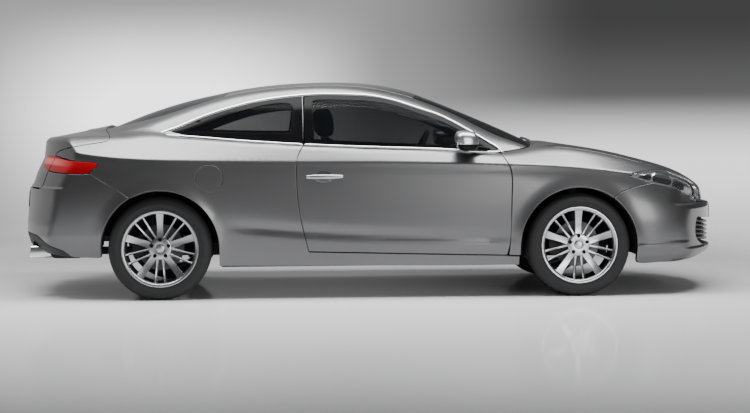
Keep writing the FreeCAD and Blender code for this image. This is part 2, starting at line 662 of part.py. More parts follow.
side_region = box(TAIL, BULKHEAD_FRONT, -1100, -CABIN_HALF, 0, 1200).fuse(
    box(TAIL, along(-1250), -1100, -across(LID_HALF_WIDTH) - GAP, up(720), 1200))
side = WALL_SHELL.common(side_region)
house_side = HOUSE.common(box(TAIL, along(1140), -1100, 0, up(GREENHOUSE_FOOT), 1600))
house_side = house_side.cut(box(along(860), along(1400), -1100, 0, 0, SHELF_Z + 25))
for hole in CUTS_ABOVE_SIDE:
    house_side = house_side.cut(hole)
house_side = one_solid(house_side.cut(HOUSE_INNER))
house_side = house_side.cut(SKIN_SHELL.common(box(along(860), along(1400), -1100, 0, 0, 1400)))
for hole in (WINDOW_OPENING, QUARTER_OPENING, DOOR_OPENING, LID_OPENING):
    house_side = house_side.cut(hole)
FLAP_R = size("flap_radius")
flap_base = (along(FLAP_X), -across(800), up(FLAP_Z))
flap_bore = primitive("Cylinder", "flap_bore", flap_base, (0, -1, 0), Radius="Sizes.flap_bore_radius",
                      Height="Sizes.overall_width").Shape
recess_floor = moved(OUTER, y=60)
flap_recess = flap_bore.cut(recess_floor)
side_rear_bumper = side_prism(REAR_BUMPER_OUTLINE, -1500, 1500)
for hole in (DOOR_OPENING, REAR_ARCH, TAIL_LAMP_BLOCK, side_rear_bumper, LID_OPENING, front_fender):
    side = side.cut(hole)
body_side = side.fuse(house_side)

# ---------------------------------------------------------------- doors with hinges

DOOR_INNER_Y = across(735)
door = OUTER.common(side_prism(grown(DOOR_OUTLINE, -GAP - 3), DOOR_INNER_Y, across(1100), DOOR_EDGE_LEAN))
door = door.cut(moved(OUTER, y=size("door_wall")))
PIN_R = size("hinge_pin_radius")
EYE_BORE = PIN_R + size("pin_clearance")
EYE_R = EYE_BORE + size("hinge_eye_wall")
EYE_H = size("hinge_height")
POCKET_ROOM = size("hinge_room")
hinge_pins = []
hinge_leaves = []
for middle in (up(450), up(690)):
    low, high = middle - EYE_H / 2, middle + EYE_H / 2
    skin_side = HINGE_Y + EYE_R + POCKET_ROOM
    door = door.cut(box(HINGE_X - EYE_R - POCKET_ROOM, along(950), -skin_side, -DOOR_INNER_Y + 60,
                        low - POCKET_ROOM, high + POCKET_ROOM))
    hinge_pins.append(rod((HINGE_X, -HINGE_Y, low - POCKET_ROOM - 8),
                          (HINGE_X, -HINGE_Y, high + POCKET_ROOM + 8), PIN_R))
    elbow_y = HINGE_Y - across(86)
    leaf = rod((HINGE_X, -HINGE_Y, low), (HINGE_X, -HINGE_Y, high), EYE_R).fuse(
        box(HINGE_X - 6, HINGE_X + 6, -HINGE_Y, -elbow_y, low, high)).fuse(
        box(HINGE_X - 6, BULKHEAD_FRONT - 10, -elbow_y - 22, -elbow_y, low, high))
    hinge_leaves.append(leaf.cut(rod((HINGE_X, -HINGE_Y, low), (HINGE_X, -HINGE_Y, high), EYE_BORE)))
door = joined(one_solid(door), *hinge_pins)
glass_block = side_prism(
    [(x, z) for x, z in WINDOW_OUTLINE if x < SAIL_START] + [(SAIL_START - 4, 1054), (SAIL_START - 4, 820)],
    across(400), across(1100))
door_glass = one_solid(pane(glass_block).cut(moved(body_side, x=GAP)))
sail_block = side_prism(
    [(SAIL_START, 820), (SAIL_START, 1046), (730, 993), (790, 952), (806, 926), (806, 820)],
    across(400), across(1100))
sail = one_solid(HOUSE.common(sail_block).cut(GLASS_INNER))
HANDLE_X, HANDLE_Z = along(-335), up(783)
handle = moved(OUTER, y=-size("handle_depth")).common(box(
    HANDLE_X - size("handle_length") / 2, HANDLE_X + size("handle_length") / 2, -1100, -across(800),
    HANDLE_Z - size("handle_height") / 2, HANDLE_Z + size("handle_height") / 2)).cut(moved(OUTER, y=3))
door = one_solid(door.fuse(handle).cut(door_glass).cut(sail))
pair("door", door)
pair("door_window", door_glass)

MIRROR_X, MIRROR_Y, MIRROR_Z = along(570), across(880), up(1008)
mirror_corner = (MIRROR_X - size("mirror_length") / 2, -MIRROR_Y - size("mirror_width") / 2,
                 MIRROR_Z - size("mirror_height") / 2)
housing = primitive("Box", "mirror_block", mirror_corner, Length="Sizes.mirror_length",
                    Width="Sizes.mirror_width", Height="Sizes.mirror_height").Shape
housing = housing.makeFillet(34, housing.Edges)
ARM_ROOT = [(650, 930), (760, 930), (720, 985), (650, 985)]
ARM_END = [(570, 960), (635, 960), (635, 985), (570, 985)]
mirror_arm = Part.makeLoft([
    Part.makePolygon([Vector(along(x), -across(y), up(z)) for x, z in points + points[:1]])
    for y, points in ((742, ARM_ROOT), (840, ARM_END))], True, True)
door_mirror = joined(sail, mirror_arm.cut(GLASS_INNER).cut(door).cut(door_glass), housing)
pair("door_mirror", one_solid(door_mirror))

node("bulkhead", one_solid(joined(bulkhead, *hinge_leaves, *(mirrored(leaf) for leaf in hinge_leaves))))
body_side = one_solid(body_side)

# ---------------------------------------------------------------- fuel flap

flap_core = primitive("Cylinder", "flap_core", flap_base, (0, -1, 0), Radius="Sizes.flap_radius",
                      Height="Sizes.overall_width").Shape
fuel_flap = one_solid(OUTER.common(flap_core).cut(moved(OUTER, y=size("flap_thickness"))))
node("fuel_flap", fuel_flap)
latch_edge = along(FLAP_X) - FLAP_R
latch = box(latch_edge + 8, latch_edge + 22, -1000, -across(830), up(FLAP_Z) - 8, up(FLAP_Z) + 8)
latch = latch.common(moved(OUTER, y=size("flap_thickness") + size("rest_gap"))).cut(recess_floor)
body_side_plain = body_side
body_side_right = one_solid(body_side.cut(flap_recess).fuse(latch))
node("body_side_right", body_side_right)
node("body_side_left", mirrored(body_side_plain))

# ---------------------------------------------------------------- floor, boot tub and wheel arch liners

TUNNEL_HALF = size("tunnel_width") / 2
TUNNEL_TOP = FLOOR_TOP + size("tunnel_height")
tunnel = box(along(-1000), BULKHEAD_REAR, -TUNNEL_HALF, TUNNEL_HALF, FLOOR_Z, TUNNEL_TOP)
tunnel_space = box(along(-1000) - 1, BULKHEAD_REAR + 1, -TUNNEL_HALF + 20, TUNNEL_HALF - 20,
                   FLOOR_Z - 1, TUNNEL_TOP - 20)
floor = joined(
    box(along(-1000), BULKHEAD_REAR, -CABIN_HALF, CABIN_HALF, FLOOR_Z, FLOOR_TOP), tunnel,
    box(along(-1000), along(-980), -TUB_HALF, TUB_HALF, FLOOR_Z, up(340)),
).cut(tunnel_space)
node("floor_pan", one_solid(floor))

SHELF_REAR = along(-1745)
shelf_room = SKIN_INNER.fuse(HOUSE.common(box(TAIL, 0, -900, 900, up(930), 1500)))
glass_room = GLASS_OUTER.common(box(SHELF_REAR - 1, 0, -900, 900, up(955), 1500))
TUB_REAR = along(-2225)
lid_buffers = []
for hand in (-1, 1):
    y0, y1 = sorted((hand * across(285), hand * across(305)))
    lid_buffers.append(box(TUB_REAR - 18, TUB_REAR - 2, y0, y1, up(670), up(LID_FOOT) - size("rest_gap")))
boot_tub = joined(
    box(along(-1270), along(-1000), -TUB_HALF, TUB_HALF, up(310), up(340)),
    box(along(-1270), along(-1250), -TUB_HALF, TUB_HALF, up(310), up(930)),
    box(SHELF_REAR, along(-1250), -TUB_HALF, TUB_HALF, up(930), up(950)),
    box(TUB_REAR, along(-1250), -TUB_HALF, TUB_HALF, BOOT_FLOOR, BOOT_FLOOR + 20),
    box(TUB_REAR - 20, TUB_REAR, -TUB_HALF, TUB_HALF, BOOT_FLOOR, up(690)),
    box(SHELF_REAR, SHELF_REAR + 24, -TUB_HALF, TUB_HALF, up(930), up(1200)),
).common(shelf_room).cut(glass_room)
boot_tub = joined(boot_tub.cut(body_side).cut(mirrored(body_side)), *lid_buffers)
node("boot_tub", one_solid(boot_tub))


def liner(axle, inner_y, inner_surface):
    """Arched liner of one wheelhouse, closed on its inner side above the suspension."""
    shell = arch_block(axle, LINER_R, inner_y, 1000)
    shell = shell.cut(arch_block(axle, size("arch_radius"), inner_y - 1, 1001))
    wall = arch_block(axle, LINER_R, inner_y, inner_y + size("liner_wall")).common(
        box(axle - 600, axle + 600, -1100, 0, up(400), 1000))
    low = box(axle - 600, axle + 600, -1100, 0, -100, up(262))
    return one_solid(shell.fuse(wall).cut(low).common(inner_surface))


LINER_REACH = size("liner_reach")
arm_slot = box(FRONT_AXLE - UPPER_ARM_HALF - GAP, FRONT_AXLE + UPPER_ARM_HALF + GAP,
               -LINER_REACH - 20, -LINER_REACH + 20, UPPER_ARM_FOOT - GAP, UPPER_ARM_TOP + GAP)
front_liner = one_solid(liner(FRONT_AXLE, LINER_REACH, SKIN_INNER).cut(arm_slot))
rear_liner = liner(REAR_AXLE, TUB_HALF, WALL_INNER)
node("wheel_arch_liners", Part.makeCompound([
    front_liner, mirrored(front_liner), rear_liner, mirrored(rear_liner)]))

# ---------------------------------------------------------------- number plates, exhaust

PLATE_ROOT = 60
half_plate = size("plate_length") / 2
front_face = along(2313.5) + size("plate_thickness")
rear_face = along(-2311.5) - size("plate_thickness")
plates = []
for name, face, foot in (("front_plate", front_face, up(576) - size("plate_height")),
                         ("rear_plate", rear_face + PLATE_ROOT, up(688) - size("plate_height"))):
    block = primitive("Box", name, (face - PLATE_ROOT, -half_plate, foot), Width="Sizes.plate_length",
                      Height="Sizes.plate_height", Length=f"{PLATE_ROOT}")
    plates.append(block.Shape.cut(OUTER))
front_plate, rear_plate = plates
node("number_plates", Part.makeCompound([one_solid(front_plate), one_solid(rear_plate)]))

PIPE_Z = up(262)
silencer = primitive("Box", "silencer", (
    along(-1900) - size("silencer_length"), -size("silencer_width") / 2, TIP_Z - size("silencer_height") / 2,
), Length="Sizes.silencer_length", Width="Sizes.silencer_width", Height="Sizes.silencer_height").Shape
long_edges = [edge for edge in silencer.Edges if edge.Length > size("silencer_width") - 1]
silencer = silencer.makeFillet(40, long_edges)
pipes = [rod((along(-1950), 0, PIPE_Z), (BULKHEAD_REAR - 40, 0, PIPE_Z), size("exhaust_radius"))]
for hand in (-1, 1):
    pipes.append(rod((along(-2010), hand * across(400), TIP_Z), (along(-2010), hand * across(400),
                     BOOT_FLOOR - size("rest_gap")), 14))
    y0, y1 = hand * TIP_Y - TIP_HALF_WIDTH, hand * TIP_Y + TIP_HALF_WIDTH
    z0, z1 = TIP_Z - TIP_HALF_HEIGHT, TIP_Z + TIP_HALF_HEIGHT
    tip = box(along(-2230), along(-2100), y0, y1, z0, z1)
    tip = tip.makeFillet(14, [e for e in tip.Edges if e.Length > 125])
    wall = size("tip_wall")
    pipes.append(tip.cut(box(along(-2300), along(-2130), y0 + wall, y1 - wall, z0 + wall, z1 - wall)))
node("exhaust", joined(silencer, *pipes))

# ---------------------------------------------------------------- running gear

def carrier(axle):
    """Hub carrier of the right side with its stub axle and brake caliper."""
    inner = -DISC_INNER + size("disc_clearance")
    block = box(axle - 36, axle + 36, inner, -KINGPIN_Y + 34, CARRIER_FOOT, CARRIER_TOP)
    stub = rod((axle, -KINGPIN_Y, HUB_Z), (axle, -MOUNTING_FACE + 6, HUB_Z), size("stub_radius"))
    outer_r = size("disc_radius") + 34
    ring = rod((axle, inner, HUB_Z), (axle, -DISC_OUTER - 34, HUB_Z), outer_r)
    ring = ring.cut(rod((axle, 0, HUB_Z), (axle, -1000, HUB_Z), size("disc_radius") - 46))
    ring = ring.cut(rod((axle, inner, HUB_Z),
                        (axle, -DISC_OUTER - size("disc_clearance"), HUB_Z), size("disc_radius") + 8))
    ring = ring.common(box(axle - 400, axle - 20, -1000, 0, HUB_Z - 70, HUB_Z + 70))
    bracket = box(axle - outer_r, axle, inner, inner + 14, HUB_Z - 60, HUB_Z + 60)
    return joined(block, stub, ring, bracket)


def front_post(y, low, high, radius):
    """Upright rod in the plane of the front axle."""
    return rod((FRONT_AXLE, y, low), (FRONT_AXLE, y, high), radius)


knuckle = carrier(FRONT_AXLE)
KP_R = size("kingpin_radius")
for foot, head in ((CARRIER_FOOT - 1, CARRIER_FOOT + 30), (CARRIER_TOP - 30, CARRIER_TOP + 1)):
    knuckle = knuckle.cut(front_post(-KINGPIN_Y, foot, head, KP_R + size("pin_clearance")))
pair("front_knuckle", one_solid(knuckle))


def control_arm(hand, root, half_width, low, high):
    """Arm from its root to the ball joint, no wider than the joint where the wheel turns past it."""
    shoulder = KINGPIN_Y - KP_R
    y0, y1 = sorted((hand * root, hand * shoulder))
    neck0, neck1 = sorted((hand * (shoulder - 1), hand * KINGPIN_Y))
    return box(FRONT_AXLE - half_width, FRONT_AXLE + half_width, y0, y1, low, high).fuse(
        box(FRONT_AXLE - KP_R, FRONT_AXLE + KP_R, neck0, neck1, low, high))


SPRING_TOP = ARCH_Z + math.sqrt(size("arch_radius") ** 2 - size("spring_radius") ** 2) - size("fit_gap")
subframe = [
    box(FRONT_AXLE - 300, FRONT_AXLE + 260, -across(330), across(330), up(222), up(272)),
    box(BULKHEAD_FRONT, along(2130), -across(450), -across(400), up(430), up(500)),
    box(BULKHEAD_FRONT, along(2130), across(400), across(450), up(430), up(500)),
    box(along(2105), along(2130), -across(450), across(450), up(420), up(520)),
]
for hand in (-1, 1):
    y0, y1 = sorted((hand * across(330), hand * across(450)))
    for x in (FRONT_AXLE - 290, FRONT_AXLE + 200):
        subframe.append(box(x, x + 50, y0, y1, up(222), up(470)))
    z0 = CARRIER_FOOT - 36
    lower_head = z0 + size("lower_arm_height")
    subframe.append(control_arm(hand, across(300), 26, z0, lower_head))
    subframe.append(front_post(hand * KINGPIN_Y, z0, CARRIER_FOOT + 28, KP_R))
    subframe.append(control_arm(hand, across(400), UPPER_ARM_HALF, UPPER_ARM_FOOT, UPPER_ARM_TOP))
    subframe.append(front_post(hand * KINGPIN_Y, CARRIER_TOP - 28, UPPER_ARM_TOP, KP_R))
    subframe.append(front_post(hand * across(560), z0 + 20, SPRING_TOP, size("spring_radius")))
    bx = along(2118)
    post = box(bx - 12, bx + 12, *sorted((hand * across(380), hand * across(420))), up(500), 1200)
    subframe.append(post.common(moved(SKIN_INNER, z=-size("rest_gap"))))
front_subframe = joined(*subframe)
node("front_subframe", one_solid(front_subframe))

beam_half = size("beam_height") / 2
rear_parts = [box(REAR_AXLE - 40, REAR_AXLE + 40, -KINGPIN_Y, KINGPIN_Y,
                  HUB_Z - beam_half, HUB_Z + beam_half)]
rear_carrier = carrier(REAR_AXLE)
for hand in (-1, 1):
    rear_parts.append(rear_carrier if hand < 0 else mirrored(rear_carrier))
    y0, y1 = sorted((hand * across(470), hand * across(520)))
    rear_parts.append(box(REAR_AXLE, along(-1000), y0, y1, up(262), up(306)))
    damper_x, damper_y = REAR_AXLE - 60, hand * across(632)
    rear_parts.append(rod((damper_x, damper_y, HUB_Z), (damper_x, damper_y, up(690)), 22))
node("rear_axle", one_solid(joined(*rear_parts)))

engine_corner = (FRONT_AXLE - size("engine_start"), -size("engine_width") / 2, up(272))
engine = primitive("Box", "engine_block", engine_corner,
                   Length="Sizes.engine_length", Width="Sizes.engine_width", Height="Sizes.engine_height")
NODES.append(engine)

# ---------------------------------------------------------------- cabin

SEAT_Y = size("seat_middle")
COLUMN_Y = SEAT_Y
WHEEL_RAKE = 25
wheel_centre = Vector(along(351), COLUMN_Y, up(896))
column_way = Vector(math.cos(math.radians(WHEEL_RAKE)), 0, -math.sin(math.radians(WHEEL_RAKE)))
column_end = wheel_centre + column_way * 330
column = joined(
    rod(wheel_centre + column_way * 45, column_end, 38),
    rod(wheel_centre - column_way * 6, column_end, size("column_radius") / 2),
)
dash_half = across(655)
dash_profile = [(600, 640), (560, 860), (600, 905), (700, 950), (880, 960),
                (BULKHEAD_REAR, 960), (BULKHEAD_REAR, 640)]
dash_ring = [Vector(along(x) if x < 881 else x, -dash_half, up(z)) for x, z in dash_profile]
dash = Part.Face(Part.makePolygon(dash_ring + dash_ring[:1])).extrude(Vector(0, 2 * dash_half, 0))
binnacle = box(along(520), along(700), COLUMN_Y - 150, COLUMN_Y + 150, up(880), up(1010))
binnacle = binnacle.makeFillet(30, [e for e in binnacle.Edges if e.Length > 175 and e.Length < 190])
console = box(along(-260), along(640), -across(95), across(95), TUNNEL_TOP, up(590))
dash_support = box(BULKHEAD_REAR - 60, BULKHEAD_REAR, -dash_half, dash_half, up(600), up(660))
dashboard = joined(dash, binnacle, console, column, dash_support)
dash_room = HOUSE_INNER.fuse(box(TAIL, BULKHEAD_REAR, -dash_half, dash_half, 0, SHELF_Z))
node("dashboard", one_solid(dashboard.common(dash_room)))

rim_r = size("steering_ring")
steering_rim = primitive("Torus", "steering_rim", wheel_centre, column_way, Radius1="Sizes.steering_ring",
                         Radius2="Sizes.steering_rim_radius")
steering = [steering_rim.Shape,
            rod(wheel_centre + column_way * 34, wheel_centre - column_way * 20, 66)]
across_way = Vector(0, 1, 0)
up_way = column_way.cross(across_way)
for way in (across_way, across_way * -1, up_way if up_way.z < 0 else up_way * -1):
    start = wheel_centre + way * 40
    spoke = rod(start, wheel_centre + way * rim_r, 11)
    steering.append(spoke)
steering_wheel = joined(*steering).cut(rod(
    wheel_centre - column_way * 8, wheel_centre + column_way * 60, size("column_bore")))
node("steering_wheel", one_solid(steering_wheel))


def seat(front_x, half_width, middle_y, back_foot, back_head, cushion_low):
    """Cushion, backrest and headrest as one closed solid."""
    wall = size("seat_wall")
    low = up(cushion_low)
    outline = [
        (front_x, low), (front_x, low + wall - 10), (front_x - 60, low + wall),
        (back_foot + 60, low + wall - 20),
        (back_head + 70, up(1000)), (back_head + 40, up(1030)), (back_head - 40, up(1030)),
        (back_foot - wall + 20, low + 60), (back_foot - wall + 50, low),
    ]
    ring = [Vector(x, middle_y - half_width, z) for x, z in outline]
    body = Part.Face(Part.makePolygon(ring + ring[:1])).extrude(Vector(0, 2 * half_width, 0))
    return body


front_seat = seat(along(400), size("seat_width") / 2, -SEAT_Y, along(-80), along(-290), 330)
rest_middle = along(-320)
headrest = box(rest_middle - 58, rest_middle + 58, -SEAT_Y - size("headrest_width") / 2,
               -SEAT_Y + size("headrest_width") / 2, up(1017), up(1226))
headrest = headrest.makeFillet(36, headrest.Edges)
seat_rails = [box(along(-100), along(300), -SEAT_Y + side - 15, -SEAT_Y + side + 15, FLOOR_TOP, up(332))
              for side in (-150, 150)]
front_seat = joined(front_seat, headrest, *seat_rails)
node("front_seats", Part.makeCompound([one_solid(front_seat), mirrored(one_solid(front_seat))]))

rear_half = size("rear_bench_width") / 2
rear_outline = [
    (-520, 340), (-520, 470), (-600, 490), (-900, 455), (-1080, 900), (-1120, 930), (-1180, 930),
    (-1190, 342), (-1190, 340),
]
ring = [Vector(along(x), -rear_half, up(z)) for x, z in rear_outline]
bench = Part.Face(Part.makePolygon(ring + ring[:1])).extrude(Vector(0, 2 * rear_half, 0))
bench = bench.cut(box(along(-1000), along(-500), -TUNNEL_HALF, TUNNEL_HALF, 0, TUNNEL_TOP))
bench_foot = box(along(-980), along(-560), -across(560), -across(200), FLOOR_TOP, up(342))
bench_back = box(along(-1250) + size("rest_gap"), along(-1189), -rear_half + 20, rear_half - 20,
                 up(341), up(880))
bench = joined(bench, bench_foot, mirrored(bench_foot), bench_back)
node("rear_seat", one_solid(bench))

# ---------------------------------------------------------------- wheels

FLANGE_R, RIM_HALF = size("rim_flange_radius"), size("rim_width") / 2
BEAD_R = size("tyre_bead_radius")
INSIDE_R = BEAD_R - size("rim_wall")
FACE = RIM_HALF - size("hub_inset")
BACK = FACE - size("hub_depth")


def ring_shape(outer, inner, y0, y1):
    """Ring about the Y axis between two planes; y counts outwards on the right side."""
    return rod((0, -y0, 0), (0, -y1, 0), outer).cut(rod((0, -y0 + 1, 0), (0, -y1 - 1, 0), inner))


def spoke_shape(angle, width, offset_root, offset_rim):
    """One spoke from the hub to the barrel, seen from outside."""
    root, tip = size("hub_radius") - 20, INSIDE_R + 4
    y_front, y_back = FACE - 4, FACE - 4 - size("spoke_thickness")
    dished = 14
    outline = [
        (root, -y_back, offset_root - width / 2), (tip, -y_back - dished, offset_rim - width / 2),
        (tip, -y_back - dished, offset_rim + width / 2), (root, -y_back, offset_root + width / 2),
    ]
    low = [Vector(*p) for p in outline]
    high = [Vector(x, y - size("spoke_thickness"), z) for x, y, z in outline]
    bar = Part.makeLoft([Part.makePolygon(low + low[:1]), Part.makePolygon(high + high[:1])], True, True)
    bar.rotate(Vector(0, 0, 0), Vector(0, 1, 0), -angle)
    return bar


parts = [
    ring_shape(BEAD_R, INSIDE_R, -RIM_HALF, RIM_HALF),
    ring_shape(FLANGE_R, INSIDE_R, -RIM_HALF, -RIM_HALF + 8),
    ring_shape(FLANGE_R, INSIDE_R, RIM_HALF - 8, RIM_HALF),
    primitive("Cylinder", "wheel_centre", (0, -BACK, 0), (0, -1, 0), Radius="Sizes.hub_radius",
              Height="Sizes.hub_depth").Shape,
    rod((0, -BACK, 0), (0, -(DISC_INNER - TRACK_HALF), 0), size("hub_radius") - 8),
    ring_shape(size("disc_radius"), size("stub_radius") + 4,
               DISC_INNER - TRACK_HALF, DISC_OUTER - TRACK_HALF),
]
for turn in range(5):
    parts.append(spoke_shape(90 + 72 * turn, size("wide_spoke_width"), 0, 0))
    for hand in (-1, 1):
        parts.append(spoke_shape(54 + 72 * turn, size("thin_spoke_width"),
                                 hand * size("thin_spoke_root"), hand * size("thin_spoke_spread")))
rim = joined(*parts)
rim = rim.cut(rod((0, -(DISC_INNER - TRACK_HALF) + 5, 0), (0, -(MOUNTING_FACE + 8 - TRACK_HALF), 0),
                  size("stub_radius") + size("stub_clearance")))
for turn in range(5):
    angle = math.radians(90 + 72 * turn)
    x, z = size("bolt_circle") / 2 * math.cos(angle), size("bolt_circle") / 2 * math.sin(angle)
    rim = rim.cut(rod((x, -FACE - 5, z), (x, -FACE + 20, z), size("bolt_radius")))
rim = one_solid(rim)
TYRE_HALF = size("tyre_width") / 2
tyre = primitive("Cylinder", "tyre_blank", (0, TYRE_HALF, 0), (0, -1, 0), Radius="Sizes.tyre_radius",
                 Height="Sizes.tyre_width").Shape
tyre = tyre.makeFillet(42, [e for e in tyre.Edges if abs(e.Length - 2 * math.pi * TYRE_R) < 1])
tyre = tyre.cut(rod((0, TYRE_HALF + 1, 0), (0, -TYRE_HALF - 1, 0), FLANGE_R + size("fit_gap")))
bead = ring_shape(FLANGE_R + size("fit_gap") + 1, BEAD_R + size("fit_gap"), -RIM_HALF + 8 + size("fit_gap"),
                  RIM_HALF - 8 - size("fit_gap"))
tyre = joined(tyre, bead)
for place, axle in (("front", FRONT_AXLE), ("rear", REAR_AXLE)):
    for name, shape in (("wheel", rim), ("tyre", tyre)):
        right = moved(shape, x=axle, y=-TRACK_HALF, z=HUB_Z)
        pair(f"{place}_{name}", right)

# ---------------------------------------------------------------- checks and export

DOC.recompute()
os.makedirs("parts", exist_ok=True)
for piece in NODES:
    state = set(piece.State) & {"Invalid", "Error"}
    if state or piece.Shape.isNull() or not piece.Shape.isValid():
        raise RuntimeError(f"{piece.Label}: bad shape {state}")
    piece.Shape.exportStep(f"parts/{piece.Label}.step")
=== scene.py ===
"""Coupe car: painted panels, glass, lamps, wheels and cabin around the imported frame.

Everything is in metres in the part's own frame: +X to the nose, +Y to the car's left, +Z up.
The right-hand side is modelled, and the left-hand side is its mirror image.
"""

import logging
import math
from dataclasses import dataclass, field
from enum import Enum
from typing import Callable, Iterable, Sequence

import bpy
import numpy as np
from mathutils import Matrix, Vector
from mathutils.geometry import delaunay_2d_cdt


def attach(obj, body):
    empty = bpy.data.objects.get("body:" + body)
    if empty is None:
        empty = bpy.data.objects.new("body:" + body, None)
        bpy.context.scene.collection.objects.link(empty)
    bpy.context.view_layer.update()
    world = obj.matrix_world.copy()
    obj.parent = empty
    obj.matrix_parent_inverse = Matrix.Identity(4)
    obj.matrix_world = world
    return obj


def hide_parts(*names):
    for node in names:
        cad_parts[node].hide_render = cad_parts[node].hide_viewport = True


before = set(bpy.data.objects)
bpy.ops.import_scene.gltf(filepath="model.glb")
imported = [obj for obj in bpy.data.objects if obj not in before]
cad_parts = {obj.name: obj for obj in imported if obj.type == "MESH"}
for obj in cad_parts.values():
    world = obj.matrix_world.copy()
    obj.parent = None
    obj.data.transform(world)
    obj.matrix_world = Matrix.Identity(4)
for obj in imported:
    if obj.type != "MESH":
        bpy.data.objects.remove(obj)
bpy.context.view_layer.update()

LOG = logging.getLogger("coupe")
Points = Sequence[Sequence[float]]
Field = Callable[[np.ndarray], np.ndarray]


# ------------------------------------------------------------------ shader expressions


class Value:
    """A shader socket that takes part in sums and products."""

    def __init__(self, finish: "NodeTree", socket: bpy.types.NodeSocket) -> None:
        """Keep the socket and the tree it belongs to."""
        self.finish = finish
        self.socket = socket

    def _math(self, operation: str, first: object, second: object) -> "Value":
        """One Math node on two values."""
        return self.finish.node("ShaderNodeMath", {"operation": operation}, {0: first, 1: second})

    def __add__(self, other: object) -> "Value":
        """Sum of two values."""
        return self._math("ADD", self, other)

    __radd__ = __add__

    def __sub__(self, other: object) -> "Value":
        """Difference of two values."""
        return self._math("SUBTRACT", self, other)

    def __rsub__(self, other: object) -> "Value":
        """Difference with this value taken away."""
        return self._math("SUBTRACT", other, self)

    def __mul__(self, other: object) -> "Value":
        """Product of two values."""
        return self._math("MULTIPLY", self, other)

    __rmul__ = __mul__

    def power(self, exponent: float) -> "Value":
        """This value raised to an exponent."""
        return self._math("POWER", self, exponent)

    def ramp(self, low: float, high: float) -> "Value":
        """A smooth step from 0 at low to 1 at high.

        Args:
            low: where the step starts.
            high: where the step ends.

        Returns:
            The stepped value.
        """
        return self.finish.node(
            "ShaderNodeMapRange",
            {"interpolation_type": "SMOOTHSTEP"},
            {"Value": self, "From Min": low, "From Max": high},
        )


class NodeTree:
    """The node tree of one material or world, with its shader at the end."""

    def __init__(self, name: str, world: bool = False) -> None:
        """Start an empty tree with its shader and output."""
        self.material = (bpy.data.worlds if world else bpy.data.materials).new(name)
        self.material.use_nodes = True
        self.tree = self.material.node_tree
        self.tree.nodes.clear()
        kinds = ("ShaderNodeOutputWorld", "ShaderNodeBackground") if world else (
            "ShaderNodeOutputMaterial", "ShaderNodeBsdfPrincipled")
        self.output, self.shader = (self.tree.nodes.new(kind) for kind in kinds)
        self.tree.links.new(self.shader.outputs[0], self.output.inputs[0])

    def feed(self, socket: bpy.types.NodeSocket, value: object) -> None:
        """Link a value to a socket, or set the socket to a plain number or colour."""
        if isinstance(value, Value):
            self.tree.links.new(value.socket, socket)
        elif isinstance(value, (int, float)):
            socket.default_value = value
        else:
            wanted = len(socket.default_value)
            socket.default_value = (*value, 1.0)[:wanted]

    def node(self, kind: str, settings: dict | None = None, inputs: dict | None = None,
             output: int | str = 0) -> Value:
        """Add one node.

        Args:
            kind: the node's type name.
            settings: attributes set first; "stops" fills a colour ramp.
            inputs: values or links by socket name or number.
            output: which output socket is returned.

        Returns:
            The chosen output as a value.
        """
        made = self.tree.nodes.new(kind)
        for key, value in (settings or {}).items():
            if key == "stops":
                ramp = made.color_ramp
                while len(ramp.elements) < len(value):
                    ramp.elements.new(0.5)
                for element, (place, colour) in zip(ramp.elements, value):
                    element.position, element.color = place, (*colour, 1.0)
            else:
                setattr(made, key, value)
        for key, value in (inputs or {}).items():
            self.feed(made.inputs[key], value)
        return Value(self, made.outputs[output])

    def place(self) -> Value:
        """Position in the object's own frame."""
        return self.node("ShaderNodeTexCoord", output="Object")

    def axis(self, name: str, source: str = "Object") -> Value:
        """One coordinate of the position, or of the direction in a world."""
        spot = self.node("ShaderNodeTexCoord", output=source)
        return self.node("ShaderNodeSeparateXYZ", inputs={0: spot}, output=name)

    def noise(self, scale: float, detail: float = 2.0, stretch: Sequence[float] = (1, 1, 1)) -> Value:
        """Noise around 0.5 over the position.

        Args:
            scale: how many features fit in a metre.
            detail: number of finer layers.
            stretch: scale along each axis.

        Returns:
            The noise value.
        """
        spot = self.node("ShaderNodeVectorMath", {"operation": "MULTIPLY"}, {0: self.place(), 1: stretch})
        return self.node("ShaderNodeTexNoise", inputs={"Vector": spot, "Scale": scale, "Detail": detail})

    def mix(self, share: object, first: object, second: object) -> Value:
        """Colour between two colours by a share."""
        return self.node("ShaderNodeMix", {"data_type": "RGBA"}, {0: share, 6: first, 7: second}, output=2)

    def bump(self, height: Value, distance: float, strength: float = 1.0) -> Value:
        """Normal from a height in units of distance."""
        return self.node("ShaderNodeBump",
                         inputs={"Strength": strength, "Distance": distance, "Height": height})

    def finish(self, **sockets: object) -> bpy.types.Material:
        """Set or link the shader's sockets and return the material.

        Args:
            **sockets: socket names with underscores for spaces.

        Returns:
            The finished material.
        """
        for name, value in sockets.items():
            self.feed(self.shader.inputs[name.replace("_", " ")], value)
        return self.material


# ------------------------------------------------------------------ finishes


@dataclass(frozen=True)
class MetallicPaint:
    """Grey metallic paint under clear lacquer."""

    name: str = "metallic_paint"
    dark: tuple = (0.112, 0.112, 0.114)
    light: tuple = (0.158, 0.158, 0.161)
    roughness: float = 0.34
    flake_size: float = 1400.0

    def make(self) -> bpy.types.Material:
        """Flakes vary the colour and roughness; the lacquer has a faint orange peel."""
        tree = NodeTree(self.name)
        flakes = tree.noise(self.flake_size, 1.0)
        cloud = tree.noise(1.3, 1.0)
        peel = tree.noise(260.0, 1.0)
        return tree.finish(
            Base_Color=tree.mix(flakes * 0.75 + cloud * 0.25, self.dark, self.light),
            Metallic=0.90, Roughness=self.roughness + (flakes - 0.5) * 0.08,
            Normal=tree.bump(peel, 0.00002, 0.25),
            Coat_Weight=0.7, Coat_Roughness=0.14, Coat_IOR=1.45)


